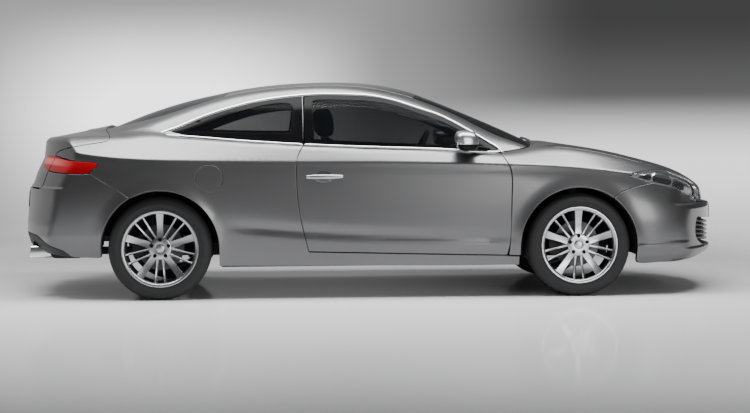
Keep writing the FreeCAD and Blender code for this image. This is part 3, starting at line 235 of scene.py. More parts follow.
@dataclass(frozen=True)
class Lacquer:
    """Gloss black or coloured plastic with a faint waviness."""

    name: str
    colour: tuple
    roughness: float = 0.08
    wear: float = 0.02
    shine: float = 0.5

    def make(self) -> bpy.types.Material:
        """Smooth plastic whose gloss varies a little with handling."""
        tree = NodeTree(self.name)
        smear = tree.noise(9.0, 3.0)
        peel = tree.noise(300.0, 1.0)
        pale = tuple(min(1.0, c * 1.25 + 0.004) for c in self.colour)
        return tree.finish(
            Base_Color=tree.mix(smear, self.colour, pale),
            Roughness=self.roughness + smear * self.wear,
            Normal=tree.bump(peel, 0.00002, 0.2), Specular_IOR_Level=self.shine)


@dataclass(frozen=True)
class GrainedPlastic:
    """Moulded plastic with a leather-like grain."""

    name: str
    colour: tuple
    roughness: float = 0.62
    grain: float = 520.0
    depth: float = 0.0003

    def make(self) -> bpy.types.Material:
        """Cells of grain set the bump, the colour and the roughness."""
        tree = NodeTree(self.name)
        cells = tree.node("ShaderNodeTexVoronoi", inputs={"Vector": tree.place(), "Scale": self.grain})
        cloud = tree.noise(7.0, 4.0)
        pale = tuple(c * 1.5 + 0.006 for c in self.colour)
        return tree.finish(
            Base_Color=tree.mix(cloud * 0.6 + cells * 0.3, self.colour, pale),
            Roughness=self.roughness + (cloud - 0.5) * 0.12,
            Normal=tree.bump(cells, self.depth, 0.6))


@dataclass(frozen=True)
class BrightMetal:
    """Polished, machined or brushed metal."""

    name: str
    colour: tuple
    roughness: float
    brush: tuple = (1, 1, 1)
    scratch: float = 900.0
    depth: float = 0.00004

    def make(self) -> bpy.types.Material:
        """Fine tool marks along the brushed way, with a soft cloud of tarnish."""
        tree = NodeTree(self.name)
        marks = tree.noise(self.scratch, 2.0, self.brush)
        cloud = tree.noise(11.0, 3.0)
        dull = tuple(c * 0.82 for c in self.colour)
        return tree.finish(
            Base_Color=tree.mix(cloud, dull, self.colour), Metallic=1.0,
            Roughness=self.roughness + (marks - 0.5) * 0.10 + (cloud - 0.5) * 0.04,
            Normal=tree.bump(marks, self.depth, 0.4))


@dataclass(frozen=True)
class CastIron:
    """Rough cast or coated iron of the running gear."""

    name: str
    colour: tuple
    rust: tuple = (0.055, 0.036, 0.026)
    roughness: float = 0.62

    def make(self) -> bpy.types.Material:
        """Coarse skin with a trace of rust in patches."""
        tree = NodeTree(self.name)
        lumps = tree.noise(90.0, 5.0)
        stain = tree.noise(14.0, 4.0).ramp(0.52, 0.75)
        return tree.finish(
            Base_Color=tree.mix(stain * 0.6, self.colour, self.rust), Metallic=0.35,
            Roughness=self.roughness + lumps * 0.15, Normal=tree.bump(lumps, 0.0008, 0.7))


@dataclass(frozen=True)
class TintedGlass:
    """Window or lamp glass: clear plastic or tinted, seen through by its alpha."""

    name: str
    tint: tuple
    cover: float
    slanted: float = 1.0
    shine: float = 0.5
    roughness: float = 0.01

    def make(self) -> bpy.types.Material:
        """Smooth glass that covers more where it is seen at a slant."""
        tree = NodeTree(self.name)
        slant = tree.node("ShaderNodeLayerWeight", inputs={"Blend": 0.28}, output="Facing")
        dust = tree.noise(3.0, 3.0)
        return tree.finish(
            Base_Color=self.tint, Roughness=self.roughness + dust * 0.012,
            Alpha=self.cover + slant * ((1.0 - self.cover) * self.slanted), Specular_IOR_Level=self.shine)


@dataclass(frozen=True)
class LampRed:
    """Red tail lamp lens with lighter light bands behind it."""

    name: str = "tail_lamp_red"
    deep: tuple = (0.13, 0.001, 0.003)
    bright: tuple = (0.36, 0.004, 0.008)
    pale: tuple = (0.85, 0.22, 0.21)
    band_height: float = 0.880
    glow: float = 0.04

    def make(self) -> bpy.types.Material:
        """A lighter inner field towards the rear between finely ribbed red edges."""
        tree = NodeTree(self.name)
        height, length = tree.axis("Z"), tree.axis("X")
        middle = self.band_height + (length + 2.0) * -0.06
        away = tree.node("ShaderNodeMath", {"operation": "ABSOLUTE"}, {0: height - middle})
        band = (1 - away.ramp(0.010, 0.030)) * (1 - length.ramp(-2.12, -1.93))
        ribs = tree.node("ShaderNodeTexWave", {"wave_type": "BANDS", "bands_direction": "X"},
                         {"Vector": tree.place(), "Scale": 42.0, "Distortion": 0.0}, output=1)
        field_colour = tree.mix(ribs * 0.35 + away.ramp(0.0, 0.05) * 0.35, self.bright, self.deep)
        colour = tree.mix(band * 0.55, field_colour, self.pale)
        return tree.finish(
            Base_Color=colour, Emission_Color=colour, Emission_Strength=self.glow, Roughness=0.16,
            Normal=tree.bump(ribs, 0.0004, 0.25), Specular_IOR_Level=0.2)


@dataclass(frozen=True)
class TyreRubber:
    """Tyre rubber with fine mould lines."""

    name: str = "tyre_rubber"
    colour: tuple = (0.008, 0.008, 0.0085)

    def make(self) -> bpy.types.Material:
        """Dull rubber whose roughness and tone vary in soft clouds."""
        tree = NodeTree(self.name)
        grit = tree.noise(240.0, 3.0)
        cloud = tree.noise(6.0, 3.0)
        return tree.finish(
            Base_Color=tree.mix(cloud, self.colour, (0.015, 0.015, 0.016)),
            Roughness=0.66 + cloud * 0.2, Normal=tree.bump(grit, 0.0003, 0.5))


@dataclass(frozen=True)
class Leather:
    """Grained leather or woven cloth of the seats and carpets."""

    name: str
    colour: tuple
    roughness: float = 0.58
    grain: float = 330.0
    sheen: float = 0.25

    def make(self) -> bpy.types.Material:
        """Two sizes of grain with worn, slightly paler crowns."""
        tree = NodeTree(self.name)
        cells = tree.node("ShaderNodeTexVoronoi", inputs={"Vector": tree.place(), "Scale": self.grain})
        fine = tree.noise(self.grain * 2.6, 2.0)
        wear = tree.noise(5.0, 4.0)
        pale = tuple(c * 1.7 + 0.004 for c in self.colour)
        return tree.finish(
            Base_Color=tree.mix(wear * 0.7 + cells * 0.3, self.colour, pale),
            Roughness=self.roughness + (wear - 0.5) * 0.2,
            Normal=tree.bump(cells + fine * 0.5, 0.0006, 0.5), Sheen_Weight=self.sheen)


class Palette:
    """Every finish of the car, made once."""

    def __init__(self) -> None:
        """Make the materials."""
        self.paint = MetallicPaint().make()
        # Darker paint for the flanges and shut faces in the panel gaps; on the door handle recess it is
        # painted shade.
        self.shut = Lacquer("shut_face_paint", (0.060, 0.062, 0.066), 0.35).make()
        self.gloss_black = Lacquer("gloss_black", (0.0022, 0.0022, 0.0025), 0.10, shine=0.09).make()
        self.plate = Lacquer("blank_plate", (0.60, 0.60, 0.585), 0.30).make()
        self.black_plastic = GrainedPlastic("black_plastic", (0.013, 0.013, 0.014)).make()
        self.liner = GrainedPlastic("liner_felt", (0.009, 0.009, 0.009), 0.9, 160.0, 0.001).make()
        self.under = GrainedPlastic("underseal", (0.030, 0.030, 0.031), 0.8, 120.0, 0.0012).make()
        self.trim = GrainedPlastic("cabin_trim", (0.020, 0.019, 0.019), 0.66, 480.0, 0.0003).make()
        self.headliner = Leather("headliner_cloth", (0.115, 0.110, 0.102), 0.9, 700.0, 0.4).make()
        self.leather = Leather("seat_leather", (0.021, 0.020, 0.020)).make()
        self.carpet = Leather("carpet", (0.016, 0.016, 0.017), 0.95, 260.0, 0.5).make()
        self.chrome = BrightMetal("chrome", (0.90, 0.905, 0.91), 0.16).make()
        self.alloy = BrightMetal("machined_alloy", (0.50, 0.505, 0.515), 0.25, depth=0.00008).make()
        self.silver = BrightMetal("satin_silver", (0.55, 0.56, 0.575), 0.32).make()
        self.steel = BrightMetal("exhaust_steel", (0.42, 0.41, 0.40), 0.36).make()
        self.disc = BrightMetal("brake_disc_steel", (0.10, 0.10, 0.105), 0.42, scratch=300.0,
                                depth=0.0002).make()
        self.bowl = BrightMetal("lamp_reflector", (0.80, 0.81, 0.82), 0.24).make()
        # Dark grey metal for the inner rim barrel, darker than the machined face: cast metal, darkened
        # further as painted shade for the inside of the wheel seen between the spokes.
        self.barrel_shade = BrightMetal("rim_barrel", (0.13, 0.13, 0.135), 0.45).make()
        self.iron = CastIron("running_gear_iron", (0.028, 0.028, 0.030)).make()
        self.engine = CastIron("engine_casting", (0.060, 0.062, 0.064)).make()
        self.glass = TintedGlass("window_glass", (0.004, 0.005, 0.006), 0.54, 0.8, 0.05).make()
        self.screen = TintedGlass("windscreen_glass", (0.006, 0.008, 0.008), 0.46, 0.8, 0.16).make()
        self.clear = TintedGlass("lamp_clear", (0.20, 0.21, 0.22), 0.03, 0.12).make()
        self.dome = TintedGlass("projector_glass", (0.30, 0.32, 0.34), 0.50, 0.5).make()
        self.red = LampRed().make()
        self.rubber = TyreRubber().make()


# ------------------------------------------------------------------ body form


def soft_max(first: np.ndarray, second: np.ndarray, width: object) -> np.ndarray:
    """Larger of two values, rounded where they are within width of each other."""
    share = np.clip(0.5 + 0.5 * (first - second) / width, 0.0, 1.0)
    return second + (first - second) * share + width * share * (1 - share)


def soft_min(first: np.ndarray, second: np.ndarray, width: object) -> np.ndarray:
    """Smaller of two values, rounded where they are within width of each other."""
    return -soft_max(-first, -second, width)


def smooth_step(value: np.ndarray, low: float, high: float) -> np.ndarray:
    """0 below low, 1 above high, smooth between."""
    share = np.clip((value - low) / (high - low), 0.0, 1.0)
    return share * share * (3 - 2 * share)


class Stations:
    """Smooth columns along the car, from a short table of sections in millimetres."""

    STEP = 0.002

    def __init__(self, rows: Points) -> None:
        """Fit a natural cubic spline to each column."""
        table = np.array(rows, float) / 1000.0
        knots, values = table[:, 0], table[:, 1:]
        gaps = np.diff(knots)
        count = len(knots)
        system, right = np.eye(count), np.zeros_like(values)
        for i in range(1, count - 1):
            system[i, i - 1:i + 2] = gaps[i - 1], 2 * (gaps[i - 1] + gaps[i]), gaps[i]
            right[i] = 6 * ((values[i + 1] - values[i]) / gaps[i] - (values[i] - values[i - 1]) / gaps[i - 1])
        bend = np.linalg.solve(system, right)
        self.places = np.arange(knots[0], knots[-1], self.STEP)
        index = np.clip(np.searchsorted(knots, self.places, "right") - 1, 0, count - 2)
        gap = gaps[index][:, None]
        ahead = (knots[index + 1] - self.places)[:, None]
        behind = (self.places - knots[index])[:, None]
        self.columns = (
            bend[index] * ahead ** 3 / (6 * gap) + bend[index + 1] * behind ** 3 / (6 * gap)
            + (values[index] / gap - bend[index] * gap / 6) * ahead
            + (values[index + 1] / gap - bend[index + 1] * gap / 6) * behind)

    def at(self, x: np.ndarray) -> list[np.ndarray]:
        """Every column at the places x."""
        return [np.interp(x, self.places, column) for column in self.columns.T]


@dataclass
class BodyForm:
    """The car's outer form: lower body, cabin and rounded ends, as one implicit shape."""

    # x, then height and half width of: the bottom edge, the lower crease, the widest line,
    # the shoulder crease and the upper edge; last the height in the middle.
    lower_sections: tuple = (
        (-2400, 250, 540, 400, 620, 600, 660, 975, 610, 1000, 560, 1012),
        (-2180, 250, 655, 400, 742, 600, 778, 1000, 702, 1022, 672, 1034),
        (-2030, 256, 722, 400, 808, 600, 834, 972, 792, 1040, 704, 1060),
        (-1770, 262, 790, 404, 864, 600, 890, 926, 868, 1050, 720, 1098),
        (-1388, 215, 830, 420, 888, 600, 906, 897, 892, 1050, 748, 1062),
        (-1000, 200, 846, 424, 882, 590, 898, 886, 883, 1022, 776, 1030),
        (-500, 198, 852, 388, 880, 580, 891, 878, 875, 988, 796, 996),
        (0, 194, 853, 360, 880, 570, 888, 875, 871, 966, 803, 974),
        (500, 190, 851, 342, 878, 560, 887, 865, 868, 943, 800, 952),
        (860, 188, 846, 332, 877, 560, 890, 856, 866, 930, 776, 962),
        (1100, 190, 838, 330, 879, 568, 897, 846, 862, 962, 716, 992),
        (1304, 195, 826, 330, 880, 574, 900, 831, 856, 951, 712, 972),
        (1600, 200, 805, 328, 876, 560, 890, 798, 842, 893, 704, 923),
        (1850, 196, 762, 325, 842, 540, 855, 758, 793, 824, 664, 862),
        (2020, 190, 706, 320, 785, 520, 797, 713, 736, 768, 602, 811),
        (2150, 186, 650, 312, 712, 500, 722, 658, 664, 704, 530, 742),
        (2260, 190, 575, 305, 620, 480, 628, 606, 575, 636, 450, 650),
        (2400, 205, 470, 300, 500, 480, 500, 560, 460, 585, 360, 590),
    )
    # x, then half width and height of: the waist, the window's upper edge and the rail's upper
    # edge; last the height in the middle.
    cabin_sections: tuple = (
        (-1860, 560, 1000, 545, 1010, 500, 1030, 1050),
        (-1700, 625, 1020, 600, 1062, 545, 1090, 1118),
        (-1490, 694, 1042, 655, 1098, 572, 1147, 1200),
        (-1260, 728, 1036, 682, 1112, 580, 1214, 1272),
        (-960, 758, 1018, 652, 1221, 566, 1304, 1338),
        (-660, 776, 1000, 618, 1287, 548, 1352, 1380),
        (-300, 786, 978, 602, 1312, 538, 1369, 1397),
        (0, 790, 966, 608, 1299, 538, 1348, 1383),
        (270, 786, 954, 634, 1222, 550, 1280, 1326),
        (580, 770, 938, 682, 1088, 584, 1150, 1208),
        (820, 752, 920, 738, 932, 628, 1030, 1106),
        (1000, 706, 900, 694, 908, 650, 962, 1024),
        (1150, 640, 870, 630, 880, 590, 900, 952),
    )
    # Height and distance from the middle of the car, from the ground up.
    tail_profile: tuple = (
        (0, 2100), (256, 2120), (288, 2255), (335, 2302), (400, 2321.5), (480, 2321.5), (600, 2310),
        (713, 2302), (724, 2281), (812, 2250), (905, 2204), (1012, 2192), (1036, 2182), (1500, 2150),
    )
    nose_profile: tuple = (
        (0, 2000), (160, 2060), (193, 2190), (226, 2262), (258, 2308), (286, 2321.5), (305, 2309),
        (430, 2313.5), (552, 2313.5), (576, 2306), (588, 2270), (640, 2262), (1500, 2200),
    )
    tail_rounding: float = 1.5
    nose_rounding: float = 1.25
    half_length: float = 2.3215
    rear_axle: float = -1.3885
    front_axle: float = 1.3045
    arch_radius: float = 0.378
    arch_height: float = 0.326
    flare: float = 0.012
    flare_width: float = 0.085
    lip: float = 0.008
    lip_height: float = 0.330
    undercut: float = 0.0015
    scoop: float = 0.014
    edge_rounding: float = 0.030
    rail_rounding: float = 0.024

    def __post_init__(self) -> None:
        """Fit the section columns."""
        self.lower_columns = Stations(self.lower_sections)
        self.cabin_columns = Stations(self.cabin_sections)
        self.tail = np.array(self.tail_profile, float) / 1000
        self.nose = np.array(self.nose_profile, float) / 1000

    def flared(self, x: np.ndarray, z: np.ndarray) -> np.ndarray:
        """How far the wheel arch flares stand out."""
        out = np.zeros_like(x)
        for axle in (self.rear_axle, self.front_axle):
            ring = np.hypot(x - axle, np.maximum(z, self.arch_height) - self.arch_height)
            share = np.clip((self.arch_radius + self.flare_width - ring) / self.flare_width, 0.0, 1.0)
            out += self.flare * share ** 2
        return out

    def half_width(self, x: np.ndarray, z: np.ndarray) -> np.ndarray:
        """Half width of the lower body's side."""
        z0, y0, z1, y1, z2, y2, z3, y3, z4, y4, _ = self.lower_columns.at(x)
        sill = y0 + (z - z0) * (y1 - y0) / (z1 - z0)
        side = (y1 * (z - z2) * (z - z3) / ((z1 - z2) * (z1 - z3))
                + y2 * (z - z1) * (z - z3) / ((z2 - z1) * (z2 - z3))
                + y3 * (z - z1) * (z - z2) / ((z3 - z1) * (z3 - z2)))
        shoulder = y3 + (z - z3) * (y4 - y3) / (z4 - z3)
        along = smooth_step(x, -2.15, -1.9) * (1 - smooth_step(x, 1.55, 1.9))
        side -= along * self.undercut * np.exp(-(((z - z3 + 0.035) / 0.028) ** 2))
        between = smooth_step(x, -1.05, -0.75) * (1 - smooth_step(x, 0.70, 0.95))
        side -= between * self.scoop * np.exp(-(((z - z1 - 0.045) / 0.034) ** 2))
        width = soft_min(side, shoulder, 0.006)
        below = self.lip_height - z + (x - 1.7) * 0.04
        lip = ((self.lip + 0.20 * np.clip(below, 0, 0.08)) * smooth_step(x, 1.60, 1.70)
               * smooth_step(below, -0.006, 0.008))
        return soft_min(width, sill, 0.008) + self.flared(x, z) + lip

    def lower(self, spots: np.ndarray) -> np.ndarray:
        """Signed measure of the lower body: negative inside."""
        x, y, z = spots.T
        z0, _, _, _, _, _, _, _, z4, y4, middle = self.lower_columns.at(x)
        crown = middle - (middle - z4) * (y / y4) ** 2
        shape = soft_max(np.abs(y) - self.half_width(x, z), z - crown, self.edge_rounding)
        shape = soft_max(shape, z0 - z, 0.010)
        for side, profile, rounding in ((-1, self.tail, self.tail_rounding),
                                        (1, self.nose, self.nose_rounding)):
            middle_x = self.half_length - rounding
            reach = np.interp(z, profile[:, 0], profile[:, 1]) - middle_x
            drum = np.hypot(np.maximum(side * x - middle_x, 0), y) - reach
            shape = soft_max(shape, drum, 0.030)
        return shape

    def cabin(self, spots: np.ndarray) -> np.ndarray:
        """Signed measure of the cabin above the waist: negative inside."""
        x, y, z = spots.T
        waist_y, waist_z, head_y, head_z, rail_y, rail_z, middle = self.cabin_columns.at(x)
        rise = np.maximum((z - waist_z) / (head_z - waist_z), 0)
        chord = np.hypot(head_y - waist_y, head_z - waist_z)
        side = waist_y + (head_y - waist_y) * rise + 0.14 * chord * rise * (1 - rise)
        step = (z - head_z) / (rail_z - head_z)
        short = np.hypot(rail_y - head_y, rail_z - head_z)
        hump = 0.32 * short
        rail = head_y + (rail_y - head_y) * step + hump * step * (1 - step)
        beyond = rail_y + (rail_y - head_y - hump) * (step - 1)
        width = np.where(z < head_z, side, np.where(step < 1, rail, beyond))
        crown = middle - (middle - rail_z) * (y / rail_y) ** 2
        shape = soft_max(np.abs(y) - width, z - crown, self.rail_rounding)
        shape = soft_max(shape, x - 1.14, 0.004)
        return soft_max(shape, -1.85 - x, 0.004)

    def whole(self, spots: np.ndarray) -> np.ndarray:
        """Lower body and cabin together; they flow into each other behind the windows."""
        blend = 0.008 + 0.075 * (1 - smooth_step(spots[:, 0], -1.55, -1.15))
        return soft_min(self.lower(spots), self.cabin(spots), blend)

    def crease(self, x: np.ndarray, which: int) -> np.ndarray:
        """Points along a character line: 1 is the lower crease and 3 the shoulder crease."""
        columns = self.lower_columns.at(x)
        height = columns[2 * which]
        return np.stack([x, -self.half_width(x, height), height], 1)

    def foot(self, x: np.ndarray) -> np.ndarray:
        """Points where the cabin rises out of the lower body on the right-hand side."""
        low, high = np.full_like(x, 0.55), np.full_like(x, 0.86)
        for _ in range(24):
            middle = (low + high) / 2
            spots = cast(self.lower, *downward(np.stack([x, -middle], 1)))
            inside = self.cabin(spots) < 0
            low, high = np.where(inside, middle, low), np.where(inside, high, middle)
        return cast(self.lower, *downward(np.stack([x, -high], 1)))


def inset_field(shape: Field, distance: float) -> Field:
    """The same shape moved inwards."""
    return lambda spots: shape(spots) + distance


def cast(shape: Field, starts: np.ndarray, ways: np.ndarray, reach: float = 2.2,
         step: float = 0.02) -> np.ndarray:
    """Where rays from outside first meet a shape.

    Args:
        shape: the signed measure of the shape.
        starts: where the rays start.
        ways: unit directions of the rays.
        reach: how far they go.
        step: the length of one march step.

    Returns:
        The points met; a ray that misses stops where it came nearest.
    """
    count = len(starts)
    near = np.full(count, reach)
    best, best_at = np.full(count, np.inf), np.zeros(count)
    found = np.zeros(count, bool)
    for travelled in np.arange(0, reach, step):
        rest = np.flatnonzero(~found)
        if not len(rest):
            break
        value = shape(starts[rest] + ways[rest] * travelled)
        closer = value < best[rest]
        best[rest[closer]], best_at[rest[closer]] = value[closer], travelled
        hit = rest[value < 0]
        near[hit] = travelled
        found[hit] = True
    low, high = np.where(found, near - step, best_at), np.where(found, near, best_at)
    for _ in range(18):
        middle = (low + high) / 2
        inside = shape(starts + ways * middle[:, None]) < 0
        low, high = np.where(inside, low, middle), np.where(inside, middle, high)
    return starts + ways * ((low + high) / 2)[:, None]


def gradient(shape: Field, spots: np.ndarray, step: float = 0.0025) -> np.ndarray:
    """Unit outward normals of a shape."""
    normals = np.empty_like(spots)
    for axis in range(3):
        shift = np.zeros(3)
        shift[axis] = step
        normals[:, axis] = shape(spots + shift) - shape(spots - shift)
    return normals / np.maximum(np.linalg.norm(normals, axis=1, keepdims=True), 1e-9)


class View(Enum):
    """The direction in which an outline's points are drawn on the body."""

    SIDE = "x and z, seen from the right"
    PLAN = "x and y, seen from above"
    FRONT = "y and z, seen from the front"
    REAR = "y and z, seen from behind"
    SPACE = "x, y and z"


def downward(flat: np.ndarray) -> tuple[np.ndarray, np.ndarray]:
    """Rays straight down over plan points."""
    starts = np.column_stack([flat, np.full(len(flat), 1.7)])
    return starts, np.tile((0.0, 0.0, -1.0), (len(flat), 1))


def view_rays(view: View, flat: np.ndarray) -> tuple[np.ndarray, np.ndarray]:
    """Rays that carry drawn points onto the body.

    Args:
        view: how the points are drawn.
        flat: the drawn points.

    Returns:
        Starts and directions.
    """
    count = len(flat)
    if view is View.PLAN:
        return downward(flat)
    if view is View.SIDE:
        return (np.column_stack([flat[:, 0], np.full(count, -1.1), flat[:, 1]]),
                np.tile((0.0, 1.0, 0.0), (count, 1)))
    side = 1.0 if view is View.FRONT else -1.0
    return np.column_stack([np.full(count, 2.5 * side), flat]), np.tile((-side, 0.0, 0.0), (count, 1))


@dataclass(frozen=True)
class Run:
    """A stretch of an outline, drawn in one view and smooth along its length; millimetres."""

    view: View
    points: tuple

    def on(self, shape: Field) -> np.ndarray:
        """The run's points on the shape, evenly spread along a smooth curve."""
        drawn = np.array(self.points, float) / 1000.0
        curve = smooth_curve(drawn, 0.012)
        if self.view is View.SPACE:
            return curve
        return cast(shape, *view_rays(self.view, curve))


def smooth_curve(points: np.ndarray, spacing: float) -> np.ndarray:
    """A Catmull-Rom curve through points, sampled at an even spacing.

    Args:
        points: the points to pass through.
        spacing: distance between samples.

    Returns:
        The sampled curve with both ends.
    """
    if len(points) < 3:
        dense = points
    else:
        ring = np.vstack([2 * points[0] - points[1], points, 2 * points[-1] - points[-2]])
        samples = []
        for i in range(1, len(ring) - 2):
            a, b, c, d = ring[i - 1:i + 3]
            spans = [max(np.linalg.norm(q - p), 1e-6) ** 0.5 for p, q in ((a, b), (b, c), (c, d))]
            out = (c - b) + spans[1] * ((b - a) / spans[0] - (c - a) / (spans[0] + spans[1]))
            into = (c - b) + spans[1] * ((d - c) / spans[2] - (d - b) / (spans[1] + spans[2]))
            t = np.linspace(0, 1, 24, endpoint=False)[:, None]
            samples.append(b + out * t + (3 * (c - b) - 2 * out - into) * t ** 2
                           + (2 * (b - c) + out + into) * t ** 3)
        dense = np.vstack([*samples, points[-1:]])
    return spread(dense, spacing)


def spread(points: np.ndarray, spacing: float) -> np.ndarray:
    """A polyline sampled again at an even spacing."""
    lengths = np.concatenate([[0], np.cumsum(np.linalg.norm(np.diff(points, axis=0), axis=1))])
    count = max(int(round(lengths[-1] / spacing)), 1)
    marks = np.linspace(0, lengths[-1], count + 1)
    return np.stack([np.interp(marks, lengths, column) for column in points.T], 1)


# ------------------------------------------------------------------ ways to unroll the body


class Unroll:
    """A way to lay part of the body flat, with rays that go back to it."""

    def flat(self, spots: np.ndarray) -> np.ndarray:
        """Flat coordinates of points near the body."""
        raise NotImplementedError

    def outward(self, flat: np.ndarray) -> tuple[np.ndarray, np.ndarray]:
        """Centres and outward directions for flat coordinates."""
        raise NotImplementedError

    def onto(self, shape: Field, flat: np.ndarray) -> tuple[np.ndarray, np.ndarray]:
        """Points of the shape under flat coordinates, and the outward directions there."""
        centres, ways = self.outward(flat)
        return cast(shape, centres + ways * 1.7, -ways, 1.9), ways


@dataclass(frozen=True)
class Girth(Unroll):
    """Unrolled around a lengthwise line: right side, roof, bonnet and deck."""

    centre_y: float = -0.30
    centre_z: float = 0.60
    radius: float = 0.55

    def flat(self, spots: np.ndarray) -> np.ndarray:
        """Place along the car, and around it."""
        turn = np.arctan2(spots[:, 2] - self.centre_z, self.centre_y - spots[:, 1])
        return np.column_stack([spots[:, 0], turn * self.radius])

    def outward(self, flat: np.ndarray) -> tuple[np.ndarray, np.ndarray]:
        """Rays from the lengthwise line."""
        turn = flat[:, 1] / self.radius
        zero = np.zeros(len(flat))
        centres = np.column_stack([flat[:, 0], zero + self.centre_y, zero + self.centre_z])
        return centres, np.column_stack([zero, -np.cos(turn), np.sin(turn)])


@dataclass(frozen=True)
class Around(Unroll):
    """Unrolled around an upright line: bumpers and tail lamps."""

    centre_x: float
    side: float
    radius: float = 0.85

    def flat(self, spots: np.ndarray) -> np.ndarray:
        """Place around the end of the car, and height."""
        turn = np.arctan2(spots[:, 1], (spots[:, 0] - self.centre_x) * self.side)
        return np.column_stack([turn * self.radius, spots[:, 2]])

    def outward(self, flat: np.ndarray) -> tuple[np.ndarray, np.ndarray]:
        """Level rays from the upright line."""
        turn = flat[:, 0] / self.radius
        zero = np.zeros(len(flat))
        centres = np.column_stack([zero + self.centre_x, zero, flat[:, 1]])
        return centres, np.column_stack([np.cos(turn) * self.side, np.sin(turn), zero])


@dataclass(frozen=True)
class Over(Unroll):
    """Unrolled around a crosswise line: bonnet with its tip, and boot lid with its rear face."""

    centre_x: float
    centre_z: float
    side: float
    radius: float = 0.7

    def flat(self, spots: np.ndarray) -> np.ndarray:
        """Place across the car, and over it."""
        turn = np.arctan2(spots[:, 2] - self.centre_z, (spots[:, 0] - self.centre_x) * self.side)
        return np.column_stack([spots[:, 1], turn * self.radius])

    def outward(self, flat: np.ndarray) -> tuple[np.ndarray, np.ndarray]:
        """Rays from the crosswise line."""
        turn = flat[:, 1] / self.radius
        zero = np.zeros(len(flat))
        centres = np.column_stack([zero + self.centre_x, flat[:, 0], zero + self.centre_z])
        return centres, np.column_stack([np.cos(turn) * self.side, zero, np.sin(turn)])


# ------------------------------------------------------------------ meshes


@dataclass
class MeshParts:
    """Vertices, normals and faces that are gathered for one mesh."""

    verts: list = field(default_factory=list)
    normals: list = field(default_factory=list)
    faces: list = field(default_factory=list)
    slots: list = field(default_factory=list)
    count: int = 0

    def add(self, verts: np.ndarray, normals: np.ndarray, faces: Iterable, slot: int = 0) -> int:
        """Add a patch and return the number of its first vertex."""
        first = self.count
        self.verts.append(np.asarray(verts, float))
        self.normals.append(np.asarray(normals, float))
        for face in faces:
            self.faces.append(tuple(int(i) + first for i in face))
            self.slots.append(slot)
        self.count += len(verts)
        return first

    def build(self, name: str, materials: Sequence[bpy.types.Material],
              mirror: bool = False) -> bpy.types.Object:
        """Make the object.

        Args:
            name: the object's name.
            materials: its material slots.
            mirror: True for the car's other side.

        Returns:
            The linked object.
        """
        verts, normals = np.vstack(self.verts), np.vstack(self.normals)
        faces = self.faces
        if mirror:
            verts, normals = verts * (1, -1, 1), normals * (1, -1, 1)
            faces = [face[::-1] for face in faces]
        mesh = bpy.data.meshes.new(name)
        mesh.from_pydata(verts.tolist(), [], faces)
        mesh.polygons.foreach_set("use_smooth", [True] * len(faces))
        mesh.polygons.foreach_set("material_index", self.slots)
        for material in materials:
            mesh.materials.append(material)
        mesh.update()
        mesh.normals_split_custom_set_from_vertices(normals.tolist())
        made = bpy.data.objects.new(name, mesh)
        bpy.context.scene.collection.objects.link(made)
        return made


def inside_loops(spots: np.ndarray, loops: Sequence[np.ndarray]) -> np.ndarray:
    """True where a flat point lies within an odd number of loops."""
    odd = np.zeros(len(spots), bool)
    for loop in loops:
        x0, y0 = loop.T
        x1, y1 = np.roll(loop, -1, 0).T
        for a, b, c, d in zip(x0, y0, x1, y1):
            if b == d:
                continue
            rows = (spots[:, 1] >= min(b, d)) & (spots[:, 1] < max(b, d))
            odd[rows] ^= spots[rows, 0] < a + (spots[rows, 1] - b) * (c - a) / (d - b)
    return odd


def loop_distance(spots: np.ndarray, loop: np.ndarray) -> np.ndarray:
    """Distance from flat points to the nearest sample of a dense loop."""
    nearest = np.full(len(spots), np.inf)
    for sample in loop:
        nearest = np.minimum(nearest, ((spots - sample) ** 2).sum(1))
    return np.sqrt(nearest)


def shifted(loop: np.ndarray, distance: float) -> np.ndarray:
    """A closed flat loop moved towards its inside by distance."""
    area = np.sum(loop[:, 0] * np.roll(loop[:, 1], -1) - np.roll(loop[:, 0], -1) * loop[:, 1])
    way = np.roll(loop, -1, 0) - np.roll(loop, 1, 0)
    way /= np.maximum(np.linalg.norm(way, axis=1, keepdims=True), 1e-9)
    inward = np.column_stack([-way[:, 1], way[:, 0]]) * (1 if area > 0 else -1)
    return loop + inward * distance


def rounded(loop: np.ndarray, spacing: float = 0.009) -> np.ndarray:
    """A closed loop with its corners cut to a small rounding and an even spacing."""
    closed = spread(np.vstack([loop, loop[:1]]), spacing)[:-1]
    for _ in range(2):
        after = np.roll(closed, -1, 0)
        closed = np.stack([0.75 * closed + 0.25 * after, 0.25 * closed + 0.75 * after], 1).reshape(-1, 2)
    return spread(np.vstack([closed, closed[:1]]), spacing)[:-1]


